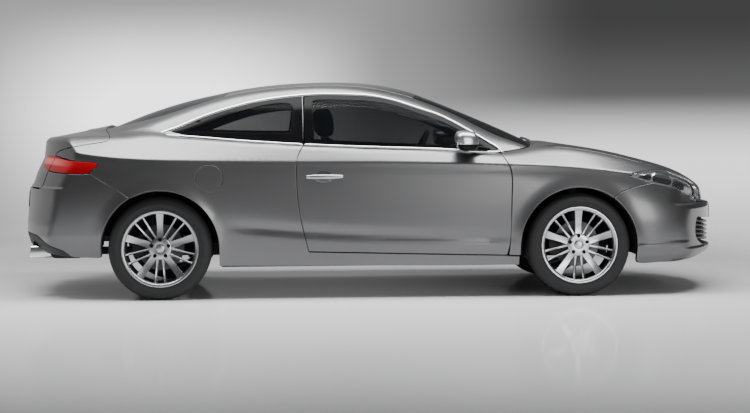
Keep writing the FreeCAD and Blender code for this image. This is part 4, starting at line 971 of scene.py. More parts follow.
@dataclass
class Panel:
    """A sheet of the body cut to an outline, with rolled edges, a flange and an inner skin."""

    name: str
    unroll: Unroll
    shape: Field
    outline: Sequence[Run]
    holes: Sequence[Sequence[Run]] = ()
    gap: float = 0.0015
    depth: float = 0.020
    roll: float = 0.003
    pitch: tuple = (0.024, 0.017)
    rows: Sequence[np.ndarray] = ()
    mirrored_outline: bool = False

    def loop(self, runs: Sequence[Run], gap: float) -> np.ndarray:
        """A flat closed loop of runs, moved inwards by a gap."""
        spots = np.vstack([run.on(self.shape) for run in runs])
        flat = self.unroll.flat(spots)
        if self.mirrored_outline:
            other = self.unroll.flat(spots * (1, -1, 1))[::-1]
            flat = np.vstack([flat, other])
        keep = np.concatenate([[True], np.linalg.norm(np.diff(flat, axis=0), axis=1) > 1e-5])
        return shifted(rounded(flat[keep]), gap)

    def build(self, outside: bpy.types.Material, inside: bpy.types.Material | None = None,
              edge: bpy.types.Material | None = None, mirror: bool = False) -> bpy.types.Object:
        """Make the panel.

        Args:
            outside: finish of the outer skin.
            inside: finish of the inner skin; the outside's where none is given.
            edge: finish of the flanges.
            mirror: True for the left-hand side.

        Returns:
            The panel object.
        """
        loops = [self.loop(self.outline, self.gap)] + [self.loop(hole, -self.gap) for hole in self.holes]
        inner = [shifted(loops[0], self.roll)] + [shifted(loop, -self.roll) for loop in loops[1:]]
        low, high = inner[0].min(0), inner[0].max(0)
        du, dv = self.pitch
        us, vs = np.arange(low[0] + du / 2, high[0], du), np.arange(low[1] + dv / 2, high[1], dv)
        grid = np.stack(np.meshgrid(us, vs), -1).reshape(-1, 2)
        for row in self.rows:
            line = self.unroll.flat(row)
            for offset in (-0.007, 0.0, 0.007):
                grid = np.vstack([grid, line + (0, offset)])
        grid = grid[inside_loops(grid, inner)]
        for loop in inner:
            grid = grid[loop_distance(grid, loop) > 0.007]
        rims = np.vstack(inner)
        flat = np.vstack([rims, grid])
        edges, start = [], 0
        for loop in inner:
            numbers = np.arange(start, start + len(loop))
            edges += list(zip(numbers.tolist(), np.roll(numbers, -1).tolist()))
            start += len(loop)
        placed, _, faces, _, _, _ = delaunay_2d_cdt([Vector(p) for p in flat], edges, [], 0, 1e-6)
        placed = np.array([(p.x, p.y) for p in placed])
        faces = np.array([f for f in faces if len(f) == 3])
        faces = faces[inside_loops(placed[faces].mean(1), inner)]
        spots, ways = self.unroll.onto(self.shape, placed)
        normals = gradient(self.shape, spots)
        a, b, c = (spots[faces[:, i]] for i in range(3))
        facing = np.einsum("ij,ij->i", np.cross(b - a, c - a), ways[faces[:, 0]])
        faces = np.where((facing < 0)[:, None], faces[:, ::-1], faces)
        parts = MeshParts()
        parts.add(spots, normals, faces)
        back = -ways * self.depth
        parts.add(spots + back, -normals, faces[:, ::-1], 1)
        for loop, outer in zip(inner, loops):
            self.add_rim(parts, loop, outer)
        made = parts.build(self.name, [outside, inside or outside, edge or outside], mirror)
        return made

    def add_rim(self, parts: MeshParts, loop: np.ndarray, outer: np.ndarray) -> None:
        """Roll the edge over from the skin and run the flange back to the inner skin."""
        start, ways = self.unroll.onto(self.shape, loop)
        ahead, _ = self.unroll.onto(self.shape, outer)
        normal = gradient(self.shape, start)
        across = ahead - start
        across -= normal * np.einsum("ij,ij->i", across, normal)[:, None]
        across /= np.maximum(np.linalg.norm(across, axis=1, keepdims=True), 1e-9)
        rings, ring_normals = [], []
        for turn in (0, 30, 60, 90):
            sine, cosine = math.sin(math.radians(turn)), math.cos(math.radians(turn))
            rings.append(start + across * self.roll * sine - normal * self.roll * (1 - cosine))
            ring_normals.append(normal * cosine + across * sine)
        rings.append(start + across * self.roll * 0.6 - ways * self.depth)
        ring_normals.append(across)
        count = len(loop)
        after = np.roll(np.arange(count), -1)
        faces, flange = [], []
        turned = np.cross(rings[1][0] - rings[0][0], rings[0][1] - rings[0][0])
        forward = float(turned @ ring_normals[1][0]) > 0
        for ring in range(len(rings) - 1):
            for i in range(count):
                quad = (ring * count + i, (ring + 1) * count + i, (ring + 1) * count + after[i],
                        ring * count + after[i])
                (flange if ring == len(rings) - 2 else faces).append(quad if forward else quad[::-1])
        first = parts.add(np.vstack(rings), np.vstack(ring_normals), faces)
        for quad in flange:
            parts.faces.append(tuple(int(i) + first for i in quad))
            parts.slots.append(2)


@dataclass
class Strip:
    """A trim strip that follows a line on the body."""

    name: str
    shape: Field
    runs: Sequence[Run]
    section: Sequence[tuple]
    taper: float = 0.03

    def build(self, material: bpy.types.Material, mirror: bool = False,
              spacing: float = 0.010) -> bpy.types.Object:
        """Sweep the section along the line.

        Args:
            material: the strip's finish.
            mirror: True for the left-hand side.
            spacing: distance between sections.

        Returns:
            The strip object.
        """
        line = spread(np.vstack([run.on(self.shape) for run in self.runs]), spacing)
        normal = gradient(self.shape, line, 0.006)
        way = np.gradient(line, axis=0)
        way /= np.linalg.norm(way, axis=1, keepdims=True)
        side = np.cross(normal, way)
        side /= np.linalg.norm(side, axis=1, keepdims=True)
        run = np.concatenate([[0], np.cumsum(np.linalg.norm(np.diff(line, axis=0), axis=1))])
        share = np.minimum(run, run[-1] - run) / self.taper
        width = np.clip(share, 0.12, 1.0) ** 0.6
        return sweep(self.name, line, side * width[:, None], normal * np.clip(share, 0.3, 1.0)[:, None],
                     self.section, material, mirror)


def sweep(name: str, line: np.ndarray, side: np.ndarray, out: np.ndarray, section: Sequence[tuple],
          material: bpy.types.Material, mirror: bool = False) -> bpy.types.Object:
    """A closed section carried along a line.

    Args:
        name: the object's name.
        line: the points followed.
        side: the section's first axis at each point.
        out: the section's second axis at each point.
        section: (across, out) points in metres, in order around the section.
        material: the finish.
        mirror: True for the left-hand side.

    Returns:
        The swept object with capped ends.
    """
    ring = np.array(section, float)
    count, size = len(line), len(ring)
    verts = (line[:, None] + side[:, None] * ring[None, :, :1]
             + out[:, None] * ring[None, :, 1:]).reshape(-1, 3)
    faces = []
    for i in range(count - 1):
        for j in range(size):
            k = (j + 1) % size
            faces.append((i * size + j, i * size + k, (i + 1) * size + k, (i + 1) * size + j))
    faces.append(tuple(range(size))[::-1])
    faces.append(tuple((count - 1) * size + j for j in range(size)))
    return plain_mesh(name, verts, faces, material, mirror, crease=40)


def plain_mesh(name: str, verts: np.ndarray, faces: Sequence, material: bpy.types.Material,
               mirror: bool = False, crease: float = 35) -> bpy.types.Object:
    """An object from vertices and faces with smooth shading up to a crease angle.

    Args:
        name: the object's name.
        verts: vertex places.
        faces: vertex numbers of each face.
        material: the finish.
        mirror: True for the left-hand side.
        crease: edges sharper than this angle in degrees stay crisp.

    Returns:
        The linked object with outward normals.
    """
    import bmesh

    verts = np.asarray(verts, float) * ((1, -1, 1) if mirror else (1, 1, 1))
    mesh = bpy.data.meshes.new(name)
    mesh.from_pydata(verts.tolist(), [], [tuple(int(i) for i in f) for f in faces])
    shape = bmesh.new()
    shape.from_mesh(mesh)
    bmesh.ops.remove_doubles(shape, verts=shape.verts, dist=1e-6)
    bmesh.ops.recalc_face_normals(shape, faces=shape.faces)
    for edge in shape.edges:
        if len(edge.link_faces) == 2 and edge.calc_face_angle(0) > math.radians(crease):
            edge.smooth = False
    for face in shape.faces:
        face.smooth = True
    shape.to_mesh(mesh)
    shape.free()
    mesh.materials.append(material)
    made = bpy.data.objects.new(name, mesh)
    bpy.context.scene.collection.objects.link(made)
    return made


def joined(name: str, pieces: Sequence[bpy.types.Object]) -> bpy.types.Object:
    """Several objects as one."""
    with bpy.context.temp_override(active_object=pieces[0], object=pieces[0], selected_objects=pieces,
                                   selected_editable_objects=pieces):
        bpy.ops.object.join()
    pieces[0].name = name
    return pieces[0]


def revolve(profile: Sequence[tuple], steps: int, centre: Sequence[float] = (0, 0, 0), closed: bool = True,
            turn: Sequence[float] = (0, 360)) -> tuple[np.ndarray, list]:
    """Turn a profile about the Y axis.

    Args:
        profile: (radius, y) points in metres.
        steps: number of steps around.
        centre: where the axis passes.
        closed: True when the profile's ends are joined.
        turn: first and last angle in degrees.

    Returns:
        Vertices and faces.
    """
    full = abs(turn[1] - turn[0] - 360) < 1e-6
    angles = np.radians(np.linspace(turn[0], turn[1], steps + (0 if full else 1), endpoint=not full))
    ring = np.array(profile, float)
    verts = np.stack([
        np.outer(np.cos(angles), ring[:, 0]), np.tile(ring[:, 1], (len(angles), 1)),
        np.outer(np.sin(angles), ring[:, 0])], -1).reshape(-1, 3) + np.array(centre)
    size = len(ring)
    faces = []
    for i in range(steps):
        for j in range(size if closed else size - 1):
            k, n = (j + 1) % size, (i + 1) % len(angles)
            faces.append((i * size + j, i * size + k, n * size + k, n * size + j))
    return verts, faces


# ------------------------------------------------------------------ shut lines of the body


def arch_run(axle: float, first: float, last: float, radius: float = 378) -> Run:
    """Side-view run along a wheel arch, between two angles in degrees from the nose side."""
    turns = np.radians(np.linspace(first, last, 25))
    return Run(View.SIDE, tuple((axle + radius * math.cos(t), 326 + radius * math.sin(t)) for t in turns))


@dataclass(frozen=True)
class ShutLines:
    """Outlines that neighbouring panels share, in millimetres."""

    door_rear: tuple = ((-470, 985), (-508, 904), (-511, 669), (-491, 522), (-440, 301))
    door_bottom: tuple = ((-440, 301), (840, 266))
    door_front: tuple = ((840, 266), (858, 344), (868, 637), (871, 771), (862, 829), (842, 872), (815, 920))
    door_top: tuple = ((812, -768), (500, -776), (0, -780), (-468, -774))
    window_top: tuple = (
        (-458, 1302), (-370, 1311), (-220, 1310), (-30, 1300), (120, 1271), (270, 1222), (430, 1167),
        (580, 1088), (730, 998), (790, 958), (824, 926))
    rear_bumper: tuple = ((-1573, 655), (-1620, 684), (-1832, 816))
    lamp_rear_low: tuple = ((-1832, 816), (-1870, 810), (-1960, 812))
    lamp_rear_low_back: tuple = ((-680, 818), (-620, 822), (-576, 826))
    lamp_rear_front: tuple = ((-1832, 816), (-1800, 843), (-1770, 872))
    lamp_rear_top: tuple = ((-1770, 872), (-1800, 886), (-1880, 892), (-1960, 898))
    lamp_rear_top_back: tuple = ((-690, 908), (-630, 916), (-576, 921))
    lid_front: tuple = ((-1753, -490), (-1742, -560), (-1722, -640), (-1710, -722))
    lid_side: tuple = (
        (-1712, 1032), (-1722, 1021), (-1750, 1012), (-1800, 1004), (-1877, 993), (-1950, 979), (-2000, 968),
        (-2040, 955), (-2066, 940), (-2078, 922))
    lid_side_back: tuple = ((-575, 921), (-573, 900), (-573, 800), (-573, 716))
    rear_screen: tuple = ((-1744, -492), (-1700, -518), (-1490, -550), (-1260, -560), (-1100, -552),
                          (-985, -540))
    roof_side: tuple = ((-985, -540), (-960, -550), (-660, -536), (-300, -526), (0, -526), (262, -536))
    screen_side: tuple = ((262, -536), (580, -574), (820, -616), (1000, -636))
    front_bumper: tuple = ((1526, 633), (1580, 671), (1680, 704), (1790, 727))
    lamp_front_low: tuple = ((1790, 727), (1890, 704), (1950, 685), (2020, 656), (2080, 631))
    lamp_front_low_front: tuple = ((-640, 612), (-560, 598), (-430, 590), (-303, 588))
    lamp_front_rear: tuple = ((1630, 781), (1740, 741), (1790, 727))
    lamp_front_top: tuple = ((1630, 781), (1700, 797), (1840, 808), (1925, 806))
    bonnet_side: tuple = (
        (1168, -700), (1304, -700), (1600, -694), (1850, -652), (1938, -611))
    bonnet_nose: tuple = ((1938, -611), (2020, -572), (2100, -500), (2160, -435), (2215, -365))
    bonnet_rear: tuple = ((1206, 0), (1200, -300), (1182, -600), (1168, -700))


LINES = ShutLines()


def back(points: tuple) -> tuple:
    """The same points in the other order."""
    return tuple(reversed(points))


# ------------------------------------------------------------------ assemblies


class Assembly:
    """Part of the car that builds its own pieces and puts them on bodies of the frame."""

    def __init__(self, form: BodyForm, palette: Palette) -> None:
        """Keep the body form and the finishes."""
        self.form = form
        self.palette = palette

    def fit(self, piece: bpy.types.Object, body: str, slot: str, *nodes: str) -> bpy.types.Object:
        """Make a piece ride on a body and stand for the nodes it covers.

        Args:
            piece: the finished object.
            body: the body it moves with.
            slot: the record's material slot; not used.
            *nodes: CAD nodes that it replaces.

        Returns:
            The piece.
        """
        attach(piece, body)
        if nodes:
            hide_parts(*nodes)
        LOG.info("%s: %d faces on %s", piece.name, len(piece.data.polygons), body)
        return piece

    def rows(self, first: float, last: float) -> list[np.ndarray]:
        """Rows of points along both character lines between two places."""
        x = np.arange(first, last, 0.016)
        return [self.form.crease(x, 3), self.form.crease(x, 1)]


SIDES = (("right", False), ("left", True))


@dataclass
class BodyShell(Assembly):
    """Painted panels of the body without the doors."""

    form: BodyForm
    palette: Palette
    side_depth: float = 0.070
    skin_depth: float = 0.022
    roof_depth: float = 0.038

    def build(self) -> None:
        """Build every fixed and opening panel."""
        for side, mirror in SIDES:
            self.body_side(side, mirror)
            self.front_wing(side, mirror)
        self.roof()
        self.bonnet()
        self.boot_lid()
        self.bumpers()
        self.number_plates()
        self.exhaust_tips()
        self.fuel_flap()
        self.pillar_seams()

    def body_side(self, side: str, mirror: bool) -> None:
        """Quarter panel, pillars, roof rail and sill in one pressing."""
        foot = self.form.foot(np.linspace(0.985, 0.835, 6)) * 1000 + (0, 3, 4)
        outline = [
            Run(View.SIDE, ((918, 203), (500, 202), (0, 206), (-500, 209), (-1010, 212))),
            arch_run(-1388.5, 0, 119.0),
            Run(View.SIDE, LINES.rear_bumper),
            Run(View.SIDE, LINES.lamp_rear_front), Run(View.SIDE, LINES.lamp_rear_top),
            Run(View.REAR, LINES.lamp_rear_top_back),
            Run(View.SIDE, back(LINES.lid_side)), Run(View.PLAN, back(LINES.lid_front)),
            Run(View.PLAN, LINES.rear_screen), Run(View.PLAN, LINES.roof_side),
            Run(View.PLAN, LINES.screen_side), Run(View.SPACE, tuple(map(tuple, foot))),
            Run(View.SIDE, back(LINES.window_top)),
            Run(View.SIDE, ((-466, 1300), (-466, 1100), (-470, 985))),
            Run(View.SIDE, LINES.door_rear), Run(View.SIDE, LINES.door_bottom),
            Run(View.SIDE, ((840, 264), (918, 262))),
        ]
        quarter_window = [Run(View.SIDE, tuple(GLASS.quarter) + (GLASS.quarter[0],))]
        holes = [quarter_window]
        if not mirror:
            holes.append([self.flap_circle(88)])
        panel = Panel(f"body_side_skin_{side}", Girth(), self.form.whole, outline, holes, gap=0.0005,
                      depth=self.side_depth, rows=self.rows(-2.05, 0.9))
        piece = panel.build(self.palette.paint, self.palette.trim, self.palette.shut, mirror)
        self.fit(piece, "chassis", "paint", f"body_side_{side}")

    @staticmethod
    def flap_circle(radius: float) -> Run:
        """Circle of the fuel flap in side view."""
        turns = np.radians(np.linspace(0, 360, 49))
        return Run(View.SIDE, tuple((-1070 + radius * math.cos(t), 779 + radius * math.sin(t))
                                    for t in turns))

    def front_wing(self, side: str, mirror: bool) -> None:
        """Front wing between door, bonnet, headlamp and bumper."""
        foot = self.form.foot(np.linspace(1.0, 0.822, 6)) * 1000 + (0, 8, 0)
        outline = [
            Run(View.SIDE, ((926, 266), (850, 266))), Run(View.SIDE, LINES.door_front[1:]),
            Run(View.SPACE, tuple(map(tuple, foot[::-1]))),
            Run(View.PLAN, ((1010, -640), (1176, -640))), Run(View.PLAN, LINES.bonnet_side),
            Run(View.SIDE, back(LINES.lamp_front_top)), Run(View.SIDE, LINES.lamp_front_rear),
            Run(View.SIDE, back(LINES.front_bumper)), arch_run(1304.5, 54.2, 180),
        ]
        panel = Panel(f"front_wing_{side}", Girth(-0.25, 0.45), self.form.lower, outline,
                      depth=self.skin_depth, rows=self.rows(0.82, 1.95))
        self.fit(panel.build(self.palette.paint, self.palette.shut, self.palette.shut, mirror),
                 "chassis", "paint", f"front_fender_{side}")

    def roof(self) -> None:
        """Roof skin with the cloth headliner beneath."""
        outline = [Run(View.PLAN, ((-950, 0), (-958, -300), (-982, -532))), Run(View.PLAN, LINES.roof_side),
                   Run(View.PLAN, ((262, -530), (292, -300), (300, 0)))]
        panel = Panel("roof_skin", Girth(0.0, 0.4, 0.9), self.form.cabin, outline, mirrored_outline=True,
                      depth=self.roof_depth)
        self.fit(panel.build(self.palette.paint, self.palette.headliner, self.palette.shut),
                 "chassis", "paint", "roof_panel")

    def bonnet(self) -> None:
        """Bonnet with its tip between the headlamps."""
        outline = [Run(View.PLAN, LINES.bonnet_rear), Run(View.PLAN, LINES.bonnet_side),
                   Run(View.PLAN, LINES.bonnet_nose),
                   Run(View.FRONT, ((-335, 640), (-306, 620), (-303, 597))),
                   Run(View.FRONT, ((-303, 597), (0, 597)))]
        panel = Panel("bonnet_skin", Over(1.35, 0.22, 1.0, 0.8), self.form.lower, outline,
                      mirrored_outline=True, depth=self.skin_depth, gap=0.0015)
        self.fit(panel.build(self.palette.paint, self.palette.shut, self.palette.shut),
                 "bonnet", "paint", "bonnet")

    def boot_lid(self) -> None:
        """Boot lid: deck, rear edge and rear face down to the bumper."""
        outline = [Run(View.PLAN, ((-1755, 0), (-1753, -490))), Run(View.PLAN, LINES.lid_front),
                   Run(View.SIDE, LINES.lid_side), Run(View.REAR, LINES.lid_side_back),
                   Run(View.REAR, ((-573, 716), (0, 716)))]
        over = Over(-1.80, 0.62, -1.0, 0.5)
        panel = Panel("boot_lid_skin", over, self.form.whole, outline,
                      mirrored_outline=True, depth=self.skin_depth, gap=0.0015, pitch=(0.024, 0.012))
        self.fit(panel.build(self.palette.paint, self.palette.shut, self.palette.shut),
                 "boot_lid", "paint", "boot_lid")
        for side, mirror in SIDES:
            outline = [Run(View.REAR, ((-572, 920), (-480, 926), (-400, 926), (-350, 920))),
                       Run(View.REAR, ((-350, 920), (-330, 906), (-345, 880))),
                       Run(View.REAR, ((-345, 880), (-400, 850), (-480, 836), (-572, 828))),
                       Run(View.REAR, ((-572, 828), (-572, 920)))]
            lamp = Panel(f"lid_lamp_{side}", Around(-1.40, -1.0), inset_field(self.form.lower, -0.0015),
                         outline,
                         depth=0.012, gap=0.0, pitch=(0.018, 0.008))
            self.fit(lamp.build(self.palette.red, edge=self.palette.gloss_black, mirror=mirror),
                     "boot_lid", "tail_lamp")

    def bumpers(self) -> None:
        """Front bumper with its grille opening, rear bumper and the dark lower rear panel."""
        front = [
            Run(View.FRONT, ((0, 583), (-303, 583), (-430, 585), (-560, 592), (-640, 606))),
            Run(View.SIDE, back(LINES.lamp_front_low)), Run(View.SIDE, back(LINES.front_bumper)),
            arch_run(1304.5, 54.2, 0),
            Run(View.SIDE, ((1682, 300), (1690, 212), (1850, 206), (2000, 203))),
            Run(View.FRONT, ((-640, 203), (-560, 206), (-300, 212), (0, 214))),
        ]
        grille = [Run(View.FRONT, ((0, 296), (-300, 297), (-500, 302))),
                  Run(View.FRONT, ((-500, 302), (-610, 326), (-676, 368), (-690, 440), (-664, 494))),
                  Run(View.FRONT, ((-664, 494), (-560, 484), (-300, 470), (0, 468)))]
        panel = Panel("front_bumper_skin", Around(1.38, 1.0), self.form.lower, front, [grille],
                      mirrored_outline=True, depth=self.skin_depth, pitch=(0.022, 0.012))
        self.fit(panel.build(self.palette.paint, self.palette.shut, self.palette.gloss_black),
                 "chassis", "paint", "front_bumper")
        seam = ((-690, 372), (-620, 400), (-400, 412), (0, 414))
        rear = [
            Run(View.REAR, ((0, 707), (-582, 707))), Run(View.REAR, ((-582, 707), (-582, 822))),
            Run(View.REAR, back(LINES.lamp_rear_low_back)), Run(View.SIDE, back(LINES.lamp_rear_low)),
            Run(View.SIDE, back(LINES.rear_bumper)), arch_run(-1388.5, 119.0, 180),
            Run(View.SIDE, ((-1767, 300), (-1770, 272), (-1860, 268), (-1960, 272))),
            Run(View.SIDE, ((-1960, 272), (-2010, 312))),
            Run(View.REAR, seam),
        ]
        panel = Panel("rear_bumper_skin", Around(-1.45, -1.0), self.form.lower, rear,
                      mirrored_outline=True, depth=self.skin_depth, pitch=(0.022, 0.012))
        self.fit(panel.build(self.palette.paint, self.palette.shut, self.palette.shut),
                 "chassis", "paint", "rear_bumper")
        lower = [Run(View.REAR, back(seam)), Run(View.SIDE, ((-2010, 312), (-1960, 272))),
                 Run(View.REAR, ((-700, 268), (-556, 270))),
                 Run(View.REAR, ((-556, 270), (-556, 344), (-405, 344), (-405, 270))),
                 Run(View.REAR, ((-405, 270), (0, 270)))]
        panel = Panel("rear_lower_panel", Around(-1.45, -1.0), self.form.lower, lower,
                      mirrored_outline=True, depth=self.skin_depth, pitch=(0.022, 0.012))
        self.fit(panel.build(self.palette.black_plastic), "chassis", "black_plastic")

    def number_plates(self) -> None:
        """Slim blank plates in dark holders that follow the bumpers."""
        for name, view, way, middle in (("front", View.FRONT, 1.0, 520), ("rear", View.REAR, -1.0, 632)):
            for part, half, rise, out, finish, slot in (
                    ("holder", 260, 56, 0.0030, self.palette.gloss_black, "gloss_black"),
                    ("plate", 252, 50, 0.0060, self.palette.plate, "plate")):
                outline = [Run(view, ((0, middle - rise), (-half, middle - rise))),
                           Run(view, ((-half, middle - rise), (-half, middle + rise))),
                           Run(view, ((-half, middle + rise), (0, middle + rise)))]
                panel = Panel(f"number_{part}_{name}", Around(1.40 * way, way),
                              inset_field(self.form.lower, -out),
                              outline, mirrored_outline=True, depth=out, gap=0.0, roll=0.001,
                              pitch=(0.03, 0.02))
                nodes = ("number_plates",) if slot == "plate" and name == "front" else ()
                self.fit(panel.build(finish), "chassis", slot, *nodes)

    def exhaust_tips(self) -> None:
        """Bright angular sleeves over the two exhaust tips."""
        ring = []
        for corner_y, corner_z, start in ((1, 1, 0), (-1, 1, 90), (-1, -1, 180), (1, -1, 270)):
            for turn in np.radians(np.linspace(start, start + 90, 6)):
                ring.append((corner_y * 0.046 + 0.022 * math.cos(turn),
                             corner_z * 0.019 + 0.022 * math.sin(turn)))
        outer = np.array(ring)
        stations = [(-2.105, 0.93), (-2.13, 1.0), (-2.242, 1.0), (-2.250, 0.985), (-2.252, 0.95),
                    (-2.246, 0.92),
                    (-2.150, 0.90)]
        pieces = []
        for hand in (-1, 1):
            verts, size = [], len(outer)
            for x, scale in stations:
                lean = 0.10 if x < -2.2 else 0.0
                verts += [(x + lean * z, hand * 0.480 + y * scale, 0.296 + z * scale) for y, z in outer]
            faces = [(i * size + j, i * size + (j + 1) % size, (i + 1) * size + (j + 1) % size,
                      (i + 1) * size + j)
                     for i in range(len(stations) - 1) for j in range(size)]
            pieces.append(plain_mesh("tip", np.array(verts), faces, self.palette.chrome))
        self.fit(joined("exhaust_tip_sleeves", pieces), "chassis", "steel")

    def pillar_seams(self) -> None:
        """Fine joints between roof rail, rear wing and deck beside the rear window."""
        groove = [(0.0011, -0.001), (0.0011, 0.0003), (-0.0011, 0.0003), (-0.0011, -0.001)]
        for side, mirror in SIDES:
            for name, line in (("deck", ((-1712, 1032), (-1681, 1022), (-1600, 1030), (-1500, 1041),
                                         (-1436, 1049))),
                               ("rail", ((-1484, 1148), (-1440, 1120), (-1400, 1096), (-1366, 1082)))):
                strip = Strip(f"{name}_seam_{side}", self.form.whole, [Run(View.SIDE, line)], groove)
                self.fit(strip.build(self.palette.shut, mirror), "chassis", "black_plastic")

    def fuel_flap(self) -> None:
        """Round fuel flap, flush in the right rear wing."""
        panel = Panel("fuel_flap_skin", Girth(), self.form.whole, [self.flap_circle(86.6)], depth=0.012,
                      gap=0.0, pitch=(0.014, 0.012))
        self.fit(panel.build(self.palette.paint, self.palette.shut, self.palette.shut),
                 "fuel_flap", "paint", "fuel_flap")


@dataclass(frozen=True)
class GlassLines:
    """Outlines of the side windows in side view, in millimetres."""

    door: tuple = (
        (-464, 985), (-464, 1100), (-458, 1298), (-370, 1305), (-220, 1304), (-30, 1294), (120, 1265),
        (270, 1216), (430, 1161), (580, 1082), (730, 993), (790, 952), (806, 930))
    quarter: tuple = (
        (-512, 1046), (-800, 1052), (-1110, 1066), (-1225, 1074), (-1110, 1124), (-960, 1183), (-800, 1232),
        (-660, 1258), (-560, 1268), (-512, 1264))
    quarter_clear: tuple = (
        (-556, 1062), (-800, 1066), (-1100, 1075), (-1208, 1080), (-1110, 1117), (-960, 1175), (-800, 1224),
        (-700, 1246), (-600, 1256), (-552, 1250), (-534, 1228), (-534, 1190), (-545, 1110), (-550, 1075))
    door_clear: tuple = (
        (-394, 1002), (-397, 1080), (-403, 1180), (-406, 1262), (-396, 1270), (-220, 1274), (-30, 1264),
        (120, 1237), (270, 1188), (430, 1130), (560, 1066), (604, 1040), (606, 1000), (604, 956), (400, 962),
        (0, 980))


GLASS = GlassLines()


